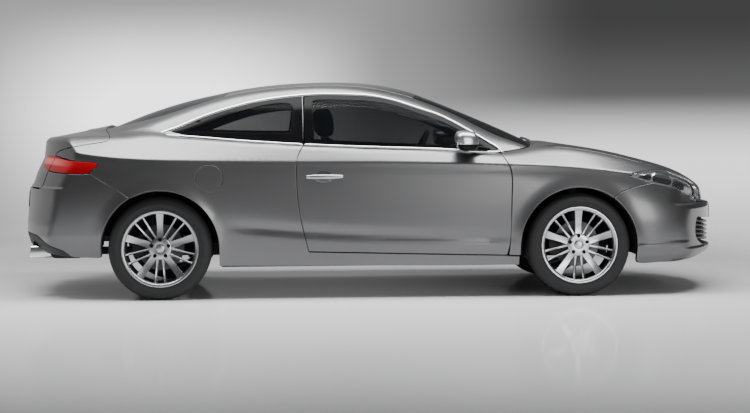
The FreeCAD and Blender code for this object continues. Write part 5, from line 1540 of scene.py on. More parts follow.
@dataclass
class Glazing(Assembly):
    """Windscreen, rear window and side windows with their dark borders."""

    form: BodyForm
    palette: Palette
    sunk: float = 0.003
    thickness: float = 0.004

    def build(self) -> None:
        """Build all panes."""
        shape = inset_field(self.form.cabin, self.sunk)
        roofline = Girth(0.0, 0.4, 0.9)
        screen = [Run(View.PLAN, ((300, 0), (292, -300), (266, -530))), Run(View.PLAN, LINES.screen_side),
                  Run(View.PLAN, ((1000, -632), (1060, -610), (1112, -400), (1126, 0)))]
        rear = [Run(View.PLAN, ((-952, 0), (-960, -300), (-984, -534))),
                Run(View.PLAN, back(LINES.rear_screen)),
                Run(View.PLAN, ((-1743, -488), (-1745, -250), (-1746, 0)))]
        for name, outline, node, finish in (
                ("windscreen_pane", screen, "windscreen", self.palette.screen),
                ("rear_window_pane", rear, "rear_window", self.palette.glass)):
            panel = Panel(name, roofline, shape, outline, mirrored_outline=True, depth=self.thickness,
                          roll=0.0012, pitch=(0.03, 0.03))
            self.fit(panel.build(finish), "chassis", "glass", node)
            border = Panel(f"{name}_border", roofline, inset_field(self.form.cabin, self.sunk - 0.0016),
                           outline,
                           [self.inner_ring(outline)], mirrored_outline=True, depth=0.0004, roll=0.0002)
            self.fit(border.build(self.palette.gloss_black), "chassis", "gloss_black")
        for side, mirror in SIDES:
            self.side_windows(side, mirror, shape)
        self.wipers()

    def wipers(self) -> None:
        """Two wiper arms and blades at the foot of the windscreen."""
        arm = [(0.007, -0.002), (0.007, 0.006), (0.0, 0.009), (-0.007, 0.006), (-0.007, -0.002)]
        blade = [(0.005, 0.002), (0.005, 0.012), (0.0, 0.018), (-0.005, 0.012), (-0.005, 0.002)]
        pieces = []
        for number, (pivot, reach) in enumerate(((-0.50, 0.60), (0.08, 0.56))):
            way = [(1100, pivot * 1000), (1080, pivot * 1000 + 150), (1052, (pivot + reach * 0.5) * 1000)]
            edge = [(1046, pivot * 1000 - 20), (1062, (pivot + reach * 0.5) * 1000),
                    (1040, (pivot + reach) * 1000)]
            for name, line, section in ((f"arm{number}", way, arm), (f"blade{number}", edge, blade)):
                strip = Strip(name, self.form.cabin, [Run(View.PLAN, tuple(line))], section)
                pieces.append(strip.build(self.palette.black_plastic))
        self.fit(joined("wipers", pieces), "chassis", "black_plastic")

    @staticmethod
    def inner_ring(outline: Sequence[Run], share: float = 0.94) -> list[Run]:
        """A smaller copy of a plan outline about its middle, for the border's inner edge."""
        spots = np.array([p for run in outline for p in run.points], float)
        middle = np.array(((spots[:, 0].min() + spots[:, 0].max()) / 2, 0.0))
        shrink = np.array((0.90, share))
        return [Run(run.view, tuple(tuple((np.array(p) - middle) * shrink + middle) for p in run.points))
                for run in outline]

    def side_windows(self, side: str, mirror: bool, shape: Field) -> None:
        """Door glass, quarter glass, pillar cover and sail cover of one side."""
        girth = Girth(-0.20, 0.70)
        front = tuple(p for p in GLASS.door if p[0] < 630) + ((632, 1054),)
        pane = Panel(f"door_glass_{side}", girth, shape,
                     [Run(View.SIDE, front[2:]), Run(View.SIDE, ((632, 1054), (634, 905))),
                      Run(View.SIDE, ((634, 905), (0, 935), (-460, 962))),
                      Run(View.SIDE, ((-460, 962), (-462, 1100), (-458, 1298)))],
                     depth=self.thickness, roll=0.0012)
        self.fit(pane.build(self.palette.glass, mirror=mirror), f"door_{side}", "glass",
                 f"door_window_{side}")
        pane = Panel(f"quarter_glass_{side}", girth, shape,
                     [Run(View.SIDE, GLASS.quarter + (GLASS.quarter[0],))],
                     depth=self.thickness, roll=0.0012, gap=0.003)
        piece = pane.build(self.palette.glass, mirror=mirror)
        self.fit(piece, "chassis", "glass", *(() if mirror else ("quarter_windows",)))
        top = tuple(p for p in Brightwork.arc if p[0] <= -474) + ((-471, 1303),)
        foot = self.form.foot(np.linspace(-0.471, -1.415, 12)) * 1000 + (0, 0, 2)
        frame_shape = inset_field(self.form.cabin, -0.0012)
        cover = Panel(f"window_frame_rear_{side}", girth, frame_shape,
                      [Run(View.SIDE, top), Run(View.SIDE, ((-471, 1303), (-471, 990))),
                       Run(View.SPACE, tuple(map(tuple, foot)))],
                      [[Run(View.SIDE, GLASS.quarter_clear + GLASS.quarter_clear[:1])]],
                      depth=0.006, roll=0.0015, gap=0.0)
        self.fit(cover.build(self.palette.gloss_black, mirror=mirror), "chassis", "gloss_black")
        cover = Panel(f"window_frame_door_{side}", girth, inset_field(self.form.cabin, self.sunk - 0.0012),
                      [Run(View.SIDE, front[2:]), Run(View.SIDE, ((632, 1054), (634, 930))),
                       Run(View.SIDE, ((634, 930), (0, 955), (-460, 975))),
                       Run(View.SIDE, ((-460, 975), (-462, 1100), (-458, 1298)))],
                      [[Run(View.SIDE, GLASS.door_clear + GLASS.door_clear[:1])]],
                      depth=0.001, roll=0.0005)
        self.fit(cover.build(self.palette.gloss_black, mirror=mirror), f"door_{side}", "gloss_black")
        sail = Panel(f"sail_cover_{side}", girth, inset_field(self.form.cabin, -0.0008),
                     [Run(View.SIDE, ((640, 925), (640, 1044))),
                      Run(View.SIDE, ((640, 1044), (730, 990), (790, 950), (808, 926))),
                      Run(View.SIDE, ((808, 926), (640, 925)))], depth=0.010, roll=0.002)
        self.fit(sail.build(self.palette.gloss_black, mirror=mirror), f"door_{side}", "gloss_black")


@dataclass
class Brightwork(Assembly):
    """Bright window surround and belt trims."""

    form: BodyForm
    palette: Palette
    arc: tuple = (
        (-1430, 1050), (-1345, 1082), (-1260, 1112), (-1110, 1174), (-960, 1222), (-810, 1262), (-660, 1288),
        (-510, 1305), (-370, 1314), (-220, 1313), (-30, 1303), (120, 1274), (270, 1225), (430, 1170),
        (580, 1091),
        (730, 1002), (790, 964), (822, 930))
    belt_height: float = 0.004

    def build(self) -> None:
        """Build the surround and belt trims of both sides."""
        round_bar = [(0.0105 * math.cos(t), 0.006 * math.sin(t)) for t in np.radians(np.arange(-20, 201, 20))]
        flat_bar = [(0.0085 * math.cos(t), 0.007 * math.sin(t)) for t in np.radians(np.arange(-20, 201, 20))]
        for side, mirror in SIDES:
            arc = Strip(f"window_arc_trim_{side}", self.form.cabin, [Run(View.SIDE, self.arc)], round_bar)
            self.fit(arc.build(self.palette.chrome, mirror), "chassis", "steel")
            for name, body, first, last in (("rear", "chassis", -1.425, -0.474),
                                            ("door", f"door_{side}", -0.462, 0.812)):
                x = np.linspace(first, last, 30)
                line = self.form.foot(x) + (0, -0.004, self.belt_height)
                belt = Strip(f"belt_trim_{name}_{side}", self.form.whole,
                             [Run(View.SPACE, tuple(map(tuple, line * 1000)))], flat_bar, taper=0.008)
                self.fit(belt.build(self.palette.chrome, mirror), body, "steel")


@dataclass
class Doors(Assembly):
    """Door skins with trim inside, hinge pins and pull handles."""

    form: BodyForm
    palette: Palette
    depth: float = 0.086
    handle_x: tuple = (-0.451, -0.219)
    handle_z: float = 0.783
    pin_x: float = 0.790
    pin_y: float = -0.866
    pin_heights: tuple = (0.450, 0.690)

    def build(self) -> None:
        """Build both doors."""
        for side, mirror in SIDES:
            outline = [Run(View.SIDE, LINES.door_rear), Run(View.SIDE, LINES.door_bottom),
                       Run(View.SIDE, LINES.door_front), Run(View.PLAN, LINES.door_top)]
            turns = np.radians(np.linspace(0, 360, 33))
            bowl = Run(View.SIDE, tuple((-342 + 58 * math.cos(t), 781 + 38 * math.sin(t)) for t in turns))
            panel = Panel(f"door_skin_{side}", Girth(-0.15, 0.45), self.form.lower, outline, [[bowl]],
                          gap=0.0022, depth=self.depth, rows=self.rows(-0.50, 0.86))
            piece = panel.build(self.palette.paint, self.palette.trim, self.palette.shut, mirror)
            self.fit(piece, f"door_{side}", "paint", f"door_{side}")
            self.handle(side, mirror)
            self.pins(side, mirror)

    def handle(self, side: str, mirror: bool) -> None:
        """A bar handle in front of a dished recess; the recess and the gap in the grip carry painted shade.
        """
        x = np.linspace(*self.handle_x, 25)
        share = np.linspace(0, 1, 25)
        height = np.full_like(x, self.handle_z)
        skin = np.column_stack([x, -self.form.half_width(x, height), height])
        stand = 0.004 + 0.008 * np.sin(np.pi * share) ** 0.5
        line = skin - np.column_stack([np.zeros(25), stand, np.zeros(25)])
        half = 0.0135 * (0.55 + 0.45 * np.sin(np.pi * np.clip(share, 0.02, 0.98)) ** 0.4)
        section = [(math.cos(t), math.sin(t)) for t in np.radians(np.arange(0, 360, 24))]
        up, out = np.tile((0.0, 0.0, 1.0), (25, 1)), np.tile((0.0, -1.0, 0.0), (25, 1))
        bar = sweep(f"door_handle_{side}", line, up * half[:, None], out * 0.0065, section,
                    self.palette.silver, mirror)
        self.fit(bar, f"door_{side}", "steel")
        # A thin gloss black strip along the handle's face: painted shade for the gap between the two grip
        # bars.
        groove = sweep(f"door_handle_groove_{side}", line[2:-2], up[2:-2] * half[2:-2, None] * 0.17,
                       out[2:-2] * 0.0070, section, self.palette.gloss_black, mirror)
        self.fit(groove, f"door_{side}", "gloss_black")
        rings, steps = [], 32
        for radius, sink in ((1.03, 0.0030), (1.0, 0.0012), (0.94, 0.0012), (0.88, 0.0040), (0.78, 0.012),
                             (0.6, 0.019), (0.3, 0.023),
                             (0.01, 0.024)):
            turns = np.radians(np.linspace(0, 360, steps, endpoint=False))
            px, pz = -0.342 + 0.0615 * radius * np.cos(turns), 0.781 + 0.0410 * radius * np.sin(turns)
            rings.append(np.column_stack([px, -self.form.half_width(px, pz) + sink, pz]))
        verts = np.vstack(rings)
        faces = [(i * steps + j, i * steps + (j + 1) % steps, (i + 1) * steps + (j + 1) % steps,
                  (i + 1) * steps + j)
                 for i in range(len(rings) - 1) for j in range(steps)]
        # The recess dish gets the dark shut-face paint instead of body paint: painted shade inside the
        # recess.
        recess_shade = plain_mesh(f"handle_recess_{side}", verts, faces, self.palette.shut, mirror)
        self.fit(recess_shade, f"door_{side}", "paint")

    def pins(self, side: str, mirror: bool) -> None:
        """The two hinge pins on which the door turns."""
        pieces = []
        for middle in self.pin_heights:
            ring = [(0.0001, -0.033), (0.004, -0.033), (0.004, 0.033), (0.0001, 0.033)]
            verts, faces = revolve(ring, 20, closed=False)
            verts = verts[:, (0, 2, 1)] + (self.pin_x, self.pin_y, middle)
            pieces.append(plain_mesh(f"pin_{side}_{middle}", verts, faces, self.palette.steel, mirror))
        self.fit(joined(f"door_hinge_pins_{side}", pieces), f"door_{side}", "steel")


@dataclass
class Lamps(Assembly):
    """Head and tail lamps."""

    form: BodyForm
    palette: Palette
    cells: tuple = (
        ((1700, 766), (1742, 776), (1790, 778), (1786, 744), (1752, 750)),
        ((1806, 778), (1868, 778), (1930, 764), (1922, 712), (1862, 722), (1804, 738)),
        ((1950, 752), (1990, 734), (2036, 700), (2030, 668), (1984, 686), (1946, 706)),
    )
    projectors: tuple = ((1.830, -0.735, 0.752, 0.036), (1.985, -0.640, 0.690, 0.034),
                         (2.100, -0.500, 0.640, 0.024))

    def build(self) -> None:
        """Build the lamps of both sides."""
        for side, mirror in SIDES:
            outline = [
                Run(View.SIDE, LINES.lamp_front_top), Run(View.PLAN, LINES.bonnet_nose),
                Run(View.FRONT, ((-340, 642), (-310, 620), (-306, 592))),
                Run(View.FRONT, back(LINES.lamp_front_low_front)),
                Run(View.SIDE, back(LINES.lamp_front_low)), Run(View.SIDE, back(LINES.lamp_front_rear)),
            ]
            turned = Around(1.30, 1.0, 0.8)
            lens = Panel(f"headlamp_lens_{side}", turned, inset_field(self.form.lower, 0.001), outline,
                         depth=0.003, roll=0.002, gap=0.003, pitch=(0.018, 0.010))
            self.fit(lens.build(self.palette.clear, mirror=mirror), "chassis", "lamp",
                     *(() if mirror else ("headlamps",)))
            bowl = Panel(f"headlamp_bowl_{side}", turned, inset_field(self.form.lower, 0.034), outline,
                         depth=0.016, roll=0.002, gap=0.004, pitch=(0.018, 0.010))
            self.fit(bowl.build(self.palette.bowl, mirror=mirror), "chassis", "steel")
            for number, cell in enumerate(self.cells):
                dark = Panel(f"headlamp_cell{number}_{side}", turned, inset_field(self.form.lower, 0.026),
                             [Run(View.SIDE, cell + cell[:1])], depth=0.004, roll=0.002, gap=0.0,
                             pitch=(0.014, 0.010))
                self.fit(dark.build(self.palette.gloss_black, mirror=mirror), "chassis", "gloss_black")
            rim = Panel(f"headlamp_frame_{side}", turned, inset_field(self.form.lower, 0.010), outline,
                        [[self.shrunk(turned, run, outline) for run in outline]],
                        depth=0.022, roll=0.002, gap=0.004, pitch=(0.018, 0.010))
            self.fit(rim.build(self.palette.bowl, self.palette.bowl, self.palette.bowl, mirror), "chassis",
                     "steel")
            self.projector_lights(side, mirror)
            self.tail_lamp(side, mirror)

    @staticmethod
    def shrunk(turned: Unroll, run: Run, outline: Sequence[Run]) -> Run:
        """A run drawn closer to the middle of its outline, by a fixed share."""
        spots = np.array([p for other in outline if other.view is run.view for p in other.points], float)
        middle = spots.mean(0)
        return Run(run.view, tuple(tuple(middle + (np.array(p) - middle) * 0.86) for p in run.points))

    def projector_lights(self, side: str, mirror: bool) -> None:
        """Round lights with bright rings inside the headlamp."""
        rings, domes = [], []
        for number, (x, y, z, radius) in enumerate(self.projectors):
            spot = np.array([[x, y, z]])
            way = gradient(self.form.lower, spot)[0]
            way = Vector((way[0] + 0.5, way[1] * 0.8, 0.0)).normalized()
            ring = [(radius, 0.0), (radius * 1.14, 0.004), (radius * 1.18, -0.002), (radius * 1.05, -0.022),
                    (radius * 0.92, -0.020)]
            verts, faces = revolve(ring, 40)
            place = Matrix.Translation((x, y, z)) @ Vector((0, 1,
                                                            0)).rotation_difference(way).to_matrix().to_4x4()
            turn = lambda points: np.array([place @ Vector(p) for p in points])
            rings.append(plain_mesh(f"ring{number}", turn(verts), faces, self.palette.chrome, mirror))
            dome = [(radius * math.sin(t), 0.010 * math.cos(t) - 0.012)
                    for t in np.radians(np.linspace(0.5, 90, 9))]
            verts, faces = revolve(dome, 40, closed=False)
            domes.append(plain_mesh(f"dome{number}", turn(verts), faces, self.palette.dome, mirror))
        self.fit(joined(f"headlamp_rings_{side}", rings), "chassis", "steel")
        self.fit(joined(f"headlamp_projectors_{side}", domes), "chassis", "lamp")

    def tail_lamp(self, side: str, mirror: bool) -> None:
        """Red lamp that wraps the rear corner."""
        outline = [
            Run(View.SIDE, LINES.lamp_rear_top), Run(View.REAR, LINES.lamp_rear_top_back),
            Run(View.REAR, ((-576, 921), (-576, 826))), Run(View.REAR, back(LINES.lamp_rear_low_back)),
            Run(View.SIDE, back(LINES.lamp_rear_low)), Run(View.SIDE, LINES.lamp_rear_front),
        ]
        lamp = Panel(f"tail_lamp_lens_{side}", Around(-1.40, -1.0), inset_field(self.form.lower, -0.001),
                     outline,
                     depth=0.040, gap=0.003, pitch=(0.018, 0.008))
        self.fit(lamp.build(self.palette.red, self.palette.shut, self.palette.gloss_black, mirror),
                 "chassis", "tail_lamp", *(() if mirror else ("tail_lamps",)))


@dataclass
class NoseGrille(Assembly):
    """Lower grille: level bars in front of a dark mesh."""

    form: BodyForm
    palette: Palette
    bars: int = 5
    low: float = 0.312
    high: float = 0.452

    def build(self) -> None:
        """Build the bars and the backing."""
        pieces = []
        section = [(-0.006, -0.010), (0.006, -0.010), (0.0075, 0.0), (0.004, 0.006), (-0.004, 0.006),
                   (-0.0075, 0.0)]
        for number in range(self.bars):
            height = self.low + (self.high - self.low) * (number + 0.5) / self.bars
            half = 0.700
            turns = np.linspace(-math.asin(half / 1.25), math.asin(half / 1.25), 61)
            radius = 1.25 - 0.022
            middle = self.form.half_length - 1.25
            rise = 0.034 * (turns / turns[-1]) ** 2
            line = np.column_stack([middle + radius * np.cos(turns), radius * np.sin(turns), height + rise])
            out = np.column_stack([np.cos(turns), np.sin(turns), np.zeros(61)])
            up = np.tile((0.0, 0.0, 1.0), (61, 1))
            pieces.append(sweep(f"bar{number}", line, up, out, section, self.palette.gloss_black))
        self.fit(joined("grille_bars", pieces), "chassis", "gloss_black")
        outline = [Run(View.FRONT, ((0, 288), (-520, 292), (-690, 350), (-706, 440), (-680, 506), (-560, 494),
                                    (0, 474)))]
        panel = Panel("grille_backing", Around(1.38, 1.0), inset_field(self.form.lower, 0.046), outline,
                      mirrored_outline=True, depth=0.006, gap=0.0)
        self.fit(panel.build(self.palette.liner), "chassis", "gloss_black", "front_grille")


@dataclass
class Mirrors(Assembly):
    """Door mirrors with a painted cap, a dark lower shell and a repeater strip."""

    form: BodyForm
    palette: Palette
    centre: tuple = (0.570, -0.880, 1.006)
    half: tuple = (0.083, 0.100, 0.067)

    def shell(self, low: float, high: float, grow: float) -> tuple[np.ndarray, list]:
        """Band of the mirror's rounded body between two levels.

        Args:
            low: lowest level, -1 is the bottom.
            high: highest level, 1 is the top.
            grow: how much larger than the core.

        Returns:
            Vertices and faces.
        """
        rings, steps = [], 48
        for level in np.linspace(low, high, 18):
            turns = np.radians(np.linspace(0, 360, steps, endpoint=False))
            size = (1 - abs(level) ** 3.2) ** (1 / 2.6)
            cosine, sine = np.cos(turns), np.sin(turns)
            px = np.sign(cosine) * np.abs(cosine) ** 0.72
            py = np.sign(sine) * np.abs(sine) ** 0.72
            depth = np.where(px > 0, 1.0, 0.80)
            lean = -0.10 * level
            rings.append(np.column_stack([
                self.centre[0] + self.half[0] * grow * (px * depth * size + lean),
                self.centre[1] + self.half[1] * grow * py * size * (1 - 0.10 * px),
                np.full(steps, self.centre[2] + self.half[2] * grow * level)]))
        verts = np.vstack(rings)
        faces = [(i * steps + j, i * steps + (j + 1) % steps, (i + 1) * steps + (j + 1) % steps,
                  (i + 1) * steps + j)
                 for i in range(len(rings) - 1) for j in range(steps)]
        faces += [tuple(range(steps)), tuple(range(len(verts) - steps, len(verts)))]
        return verts, faces

    def build(self) -> None:
        """Build both mirrors."""
        for side, mirror in SIDES:
            verts, faces = self.shell(-0.12, 0.999, 1.0)
            cap = plain_mesh(f"mirror_cap_{side}", verts, faces, self.palette.silver, mirror)
            self.fit(cap, f"door_{side}", "paint", f"door_mirror_{side}")
            verts, faces = self.shell(-0.30, -0.12, 1.004)
            ends = np.array([verts[list(face)].mean(0)[0] for face in faces])
            faces = [face for face, x in zip(faces, ends) if len(face) == 4 and x < self.centre[0] + 0.012]
            lens = plain_mesh(f"mirror_repeater_{side}", verts, faces, self.palette.bowl, mirror)
            self.fit(lens, f"door_{side}", "lamp")
            verts, faces = self.shell(-0.32, -0.10, 0.992)
            band = plain_mesh(f"mirror_band_{side}", verts, faces, self.palette.silver, mirror)
            self.fit(band, f"door_{side}", "paint")
            verts, faces = self.shell(-0.999, -0.33, 0.985)
            base = plain_mesh(f"mirror_lower_shell_{side}", verts, faces, self.palette.gloss_black, mirror)
            self.fit(base, f"door_{side}", "gloss_black")
            line = np.array([(0.725, -0.735, 0.946), (0.690, -0.765, 0.952), (0.645, -0.800, 0.958),
                             (0.600, -0.842, 0.962)])
            line = smooth_curve(line, 0.01)
            way = np.gradient(line, axis=0)
            way /= np.linalg.norm(way, axis=1, keepdims=True)
            up = np.tile((0.0, 0.0, 1.0), (len(line), 1))
            out = np.cross(way, up)
            section = [(0.016 * math.cos(t), 0.030 * math.sin(t)) for t in np.radians(np.arange(0, 360, 20))]
            arm = sweep(f"mirror_arm_{side}", line, up, out, section, self.palette.gloss_black, mirror)
            self.fit(arm, f"door_{side}", "gloss_black")


@dataclass
class WheelSet(Assembly):
    """Alloy wheels with tyres and brake discs."""

    form: BodyForm
    palette: Palette
    track_half: float = 0.780
    hub_height: float = 0.331
    tyre_radius: float = 0.331
    tyre_half: float = 0.1125
    face: float = 0.074
    spokes: int = 5

    def build(self) -> None:
        """Build the four wheels."""
        for place, axle in (("front", self.form.front_axle), ("rear", self.form.rear_axle)):
            for side, mirror in SIDES:
                self.wheel(place, side, axle, mirror)

    def spoke(self, angle: float, half_root: float, half_tip: float, off_root: float,
              off_tip: float) -> tuple:
        """One spoke from the hub to the rim, with a crowned face.

        Args:
            angle: direction in degrees.
            half_root: half width at the hub.
            half_tip: half width at the rim.
            off_root: sideways place at the hub.
            off_tip: sideways place at the rim.

        Returns:
            Vertices and faces in the wheel's frame, outwards along -Y.
        """
        verts, faces, stations = [], [], 9
        for i in range(stations):
            share = i / (stations - 1)
            reach = 0.050 + share * 0.177
            half = half_root + (half_tip - half_root) * share
            half *= 1 - 0.14 * math.sin(math.pi * share)
            off = off_root + (off_tip - off_root) * share
            front = self.face - 0.006 + 0.016 * share - 0.010 * math.sin(math.pi * share)
            depth = 0.030 - 0.006 * share
            bevel = min(0.0035, half * 0.45)
            ring = [(-half, front - bevel), (-half + bevel, front), (0, front - 0.0012),
                    (half - bevel, front),
                    (half, front - bevel), (half * 0.72, front - depth), (-half * 0.72, front - depth)]
            verts += [(reach, -out, off + across) for across, out in ring]
        size = 7
        for i in range(stations - 1):
            for j in range(size):
                k = (j + 1) % size
                faces.append((i * size + j, i * size + k, (i + 1) * size + k, (i + 1) * size + j))
        faces += [tuple(range(size)), tuple(range((stations - 1) * size, stations * size))]
        turn = math.radians(angle)
        points = np.array(verts)
        x = points[:, 0] * math.cos(turn) - points[:, 2] * math.sin(turn)
        z = points[:, 0] * math.sin(turn) + points[:, 2] * math.cos(turn)
        return np.column_stack([x, points[:, 1], z]), faces

    def wheel(self, place: str, side: str, axle: float, mirror: bool) -> None:
        """Rim, spokes, hub, bolts, tyre and disc of one wheel."""
        centre = np.array((axle, -self.track_half, self.hub_height))
        body = f"wheel_{place}_{side}"
        pieces = []

        def part(verts: np.ndarray, faces: list, material: bpy.types.Material, crease: float = 30) -> None:
            """Add one mesh in the wheel's place."""
            pieces.append(plain_mesh("part", np.asarray(verts) + centre, faces, material, mirror, crease))

        rim = [(0.2400, -0.1080), (0.2455, -0.1072), (0.2462, -0.1040), (0.2445, -0.1010), (0.2330, -0.0990),
               (0.2290, -0.0900), (0.2290, 0.0990), (0.2440, 0.1010), (0.2460, 0.1075), (0.2380, 0.1075),
               (0.2200, 0.0980), (0.2200, -0.0500), (0.2225, -0.0820), (0.2270, -0.0860), (0.2300, -0.0985),
               (0.2345, -0.1060)]
        # The barrel's dark metal is in part painted shade inside the wheel.
        part(*revolve(rim, 96), self.palette.barrel_shade)
        lip = [(0.2245, -0.0985), (0.2260, -0.1020), (0.2340, -0.1085), (0.2400, -0.1098), (0.2462, -0.1090),
               (0.2472, -0.1060), (0.2462, -0.1020), (0.2300, -0.0960), (0.2250, -0.0940)]
        part(*revolve(lip, 96), self.palette.alloy)
        hub = [(0.0001, -0.060), (0.0270, -0.0600), (0.0275, -0.0690), (0.0300, -0.0715), (0.0560, -0.0740),
               (0.0700, -0.0700), (0.0755, -0.0620), (0.0760, -0.0280), (0.0001, -0.0280)]
        part(*revolve(hub, 72, closed=False), self.palette.alloy)
        badge = [(0.0001, -0.0735), (0.0180, -0.0728), (0.0245, -0.0705), (0.0262, -0.0670),
                 (0.0262, -0.0600)]
        part(*revolve(badge, 48, closed=False), self.palette.silver)
        for number in range(self.spokes):
            angle = 90 + 72 * number
            part(*self.spoke(angle, 0.0235, 0.0270, 0, 0), self.palette.alloy)
            for hand in (-1, 1):
                part(*self.spoke(angle + 36, 0.0098, 0.0080, hand * 0.0155, hand * 0.0310),
                     self.palette.alloy)
            spin = math.radians(angle)
            bolt = [(0.0001, -0.0590), (0.0060, -0.0590), (0.0085, -0.0570), (0.0088, -0.0500)]
            verts, faces = revolve(bolt, 6, closed=False)
            part(verts + (0.05715 * math.cos(spin), -0.0112, 0.05715 * math.sin(spin)), faces,
                 self.palette.steel)
            # A gloss black disc over each bolt, proud of the hub face: painted shade of the bolt recess.
            bolt_hole_shade = [(0.0001, -0.0752), (0.0120, -0.0752), (0.0122, -0.0700), (0.0001, -0.0700)]
            verts, faces = revolve(bolt_hole_shade, 24)
            part(verts + (0.05715 * math.cos(spin), -0.0008, 0.05715 * math.sin(spin)), faces,
                 self.palette.gloss_black)
        self.fit(joined(f"alloy_wheel_{place}_{side}", pieces), body, "wheel", f"{place}_wheel_{side}")
        pieces = []
        disc = [(0.070, 0.034), (0.070, 0.052), (0.090, 0.056), (0.148, 0.058), (0.148, 0.036),
                (0.090, 0.036)]
        part(*revolve(disc, 72), self.palette.disc)
        self.fit(joined(f"brake_disc_{place}_{side}", pieces), body, "steel")
        pieces = []
        part(*self.tyre(), self.palette.rubber, 24)
        self.fit(joined(f"tyre_rubber_{place}_{side}", pieces), body, "tyre", f"{place}_tyre_{side}")

    def tyre(self) -> tuple[np.ndarray, list]:
        """Tyre with grooves around the tread and ridges on the sidewalls."""
        r, w = self.tyre_radius, self.tyre_half
        half = [(0.2470, w - 0.014), (0.2500, w - 0.006), (0.2560, w - 0.0035), (0.2580, w - 0.0045),
                (0.2700, w - 0.0008), (0.2850, w), (0.2870, w - 0.0012), (0.2990, w - 0.003),
                (0.3100, w - 0.009),
                (0.3120, w - 0.0108), (0.3200, w - 0.019), (0.3262, w - 0.029), (0.3296, w - 0.040)]
        tread = []
        for groove in (0.052, 0.018):
            tread += [(r - 0.0006, groove + 0.0060), (r - 0.0070, groove + 0.0045),
                      (r - 0.0070, groove - 0.0045), (r - 0.0004, groove - 0.0060)]
        side = half + tread
        profile = side + [(radius, -y) for radius, y in reversed(side)]
        verts, faces = revolve(profile, 144)
        return verts, faces


@dataclass
class SeatPad:
    """A stuffed seat piece: a crowned closed form with side rolls and sewn channels."""

    name: str
    centre: tuple
    half: tuple
    lean: float = 0.0
    rolls: float = 0.0
    crown: float = 0.014
    channels: tuple = ()
    voxel: float = 0.011

    def form(self) -> bpy.types.Object:
        """The unstuffed shape: a rounded block in the seat's own frame, +Z is the outer face."""
        count = 22
        line = np.linspace(-1, 1, count)
        verts, faces = [], []
        for axis in range(3):
            for sign in (-1, 1):
                first = len(verts)
                for a in line:
                    for b in line:
                        point = [0.0, 0.0, 0.0]
                        point[axis], point[(axis + 1) % 3], point[(axis + 2) % 3] = sign, a, b
                        verts.append(point)
                for i in range(count - 1):
                    for j in range(count - 1):
                        k = first + i * count + j
                        faces.append((k, k + count, k + count + 1, k + 1))
        cube = np.array(verts)
        length = (np.abs(cube) ** 7).sum(1) ** (1 / 7)
        block = cube / length[:, None]
        x, y, z = (block * np.array(self.half)).T
        top = np.clip(block[:, 2], 0, 1)
        z = z + top * self.crown * (1 - block[:, 0] ** 2) * (1 - block[:, 1] ** 2)
        z = z + top * self.rolls * smooth_step(np.abs(block[:, 1]), 0.52, 0.86)
        made = plain_mesh(self.name, np.column_stack([x, y, z]), faces, bpy.data.materials[0], crease=180)
        return made

    def stuff(self, pad: bpy.types.Object) -> None:
        """Swell the cover with a short cloth run, and hold every point near its pattern."""
        remesh = pad.modifiers.new("weave", "REMESH")
        remesh.mode, remesh.voxel_size = "VOXEL", self.voxel
        apply_modifiers(pad)
        rest = vertex_places(pad)
        cloth = pad.modifiers.new("fill", "CLOTH")
        cloth.settings.use_pressure = True
        cloth.settings.uniform_pressure_force = 4.0
        cloth.settings.effector_weights.gravity = 0.0
        cloth.settings.quality = 4
        cloth.point_cache.frame_start, cloth.point_cache.frame_end = 1, 20
        for number in range(1, 21):
            bpy.context.scene.frame_set(number)
        evaluated = pad.evaluated_get(bpy.context.evaluated_depsgraph_get())
        swollen = vertex_places(evaluated)
        pad.modifiers.remove(cloth)
        bpy.context.scene.frame_set(1)
        move = swollen - rest
        length = np.linalg.norm(move, axis=1, keepdims=True)
        move *= np.minimum(1.0, 0.012 / np.maximum(length, 1e-9))
        set_places(pad, rest + move)

    def build(self, material: bpy.types.Material, mirror: bool = False) -> bpy.types.Object:
        """Make the pad with its seams and put it in place."""
        pad = self.form()
        self.stuff(pad)
        spots = vertex_places(pad)
        half = np.array(self.half)
        unit = spots / half
        top = smooth_step(unit[:, 2], 0.2, 0.8)
        sink = np.zeros(len(spots))
        for place in self.channels:
            sink += np.exp(-((spots[:, 0] - place * half[0]) / 0.006) ** 2) * (np.abs(unit[:, 1]) < 0.6)
        if self.rolls:
            sink += np.exp(-((np.abs(unit[:, 1]) - 0.62) * half[1] / 0.006) ** 2)
        spots[:, 2] -= 0.007 * sink * top
        turn = math.radians(self.lean)
        x = spots[:, 0] * math.cos(turn) - spots[:, 2] * math.sin(turn)
        z = spots[:, 0] * math.sin(turn) + spots[:, 2] * math.cos(turn)
        placed = np.column_stack([x, spots[:, 1], z]) + np.array(self.centre)
        set_places(pad, placed * ((1, -1, 1) if mirror else (1, 1, 1)))
        if mirror:
            pad.data.flip_normals()
        pad.data.materials.clear()
        pad.data.materials.append(material)
        pad.modifiers.new("smooth", "SUBSURF").levels = 1
        apply_modifiers(pad)
        pad.data.polygons.foreach_set("use_smooth", [True] * len(pad.data.polygons))
        return pad


def vertex_places(piece: bpy.types.Object) -> np.ndarray:
    """Vertex places of an object's mesh."""
    flat = np.empty(len(piece.data.vertices) * 3)
    piece.data.vertices.foreach_get("co", flat)
    return flat.reshape(-1, 3)


def set_places(piece: bpy.types.Object, spots: np.ndarray) -> None:
    """Move an object's vertices."""
    piece.data.vertices.foreach_set("co", np.asarray(spots, float).ravel())
    piece.data.update()


def apply_modifiers(piece: bpy.types.Object) -> None:
    """Put the modified mesh in place of the plain one."""
    evaluated = piece.evaluated_get(bpy.context.evaluated_depsgraph_get())
    mesh = bpy.data.meshes.new_from_object(evaluated)
    piece.modifiers.clear()
    piece.data = mesh


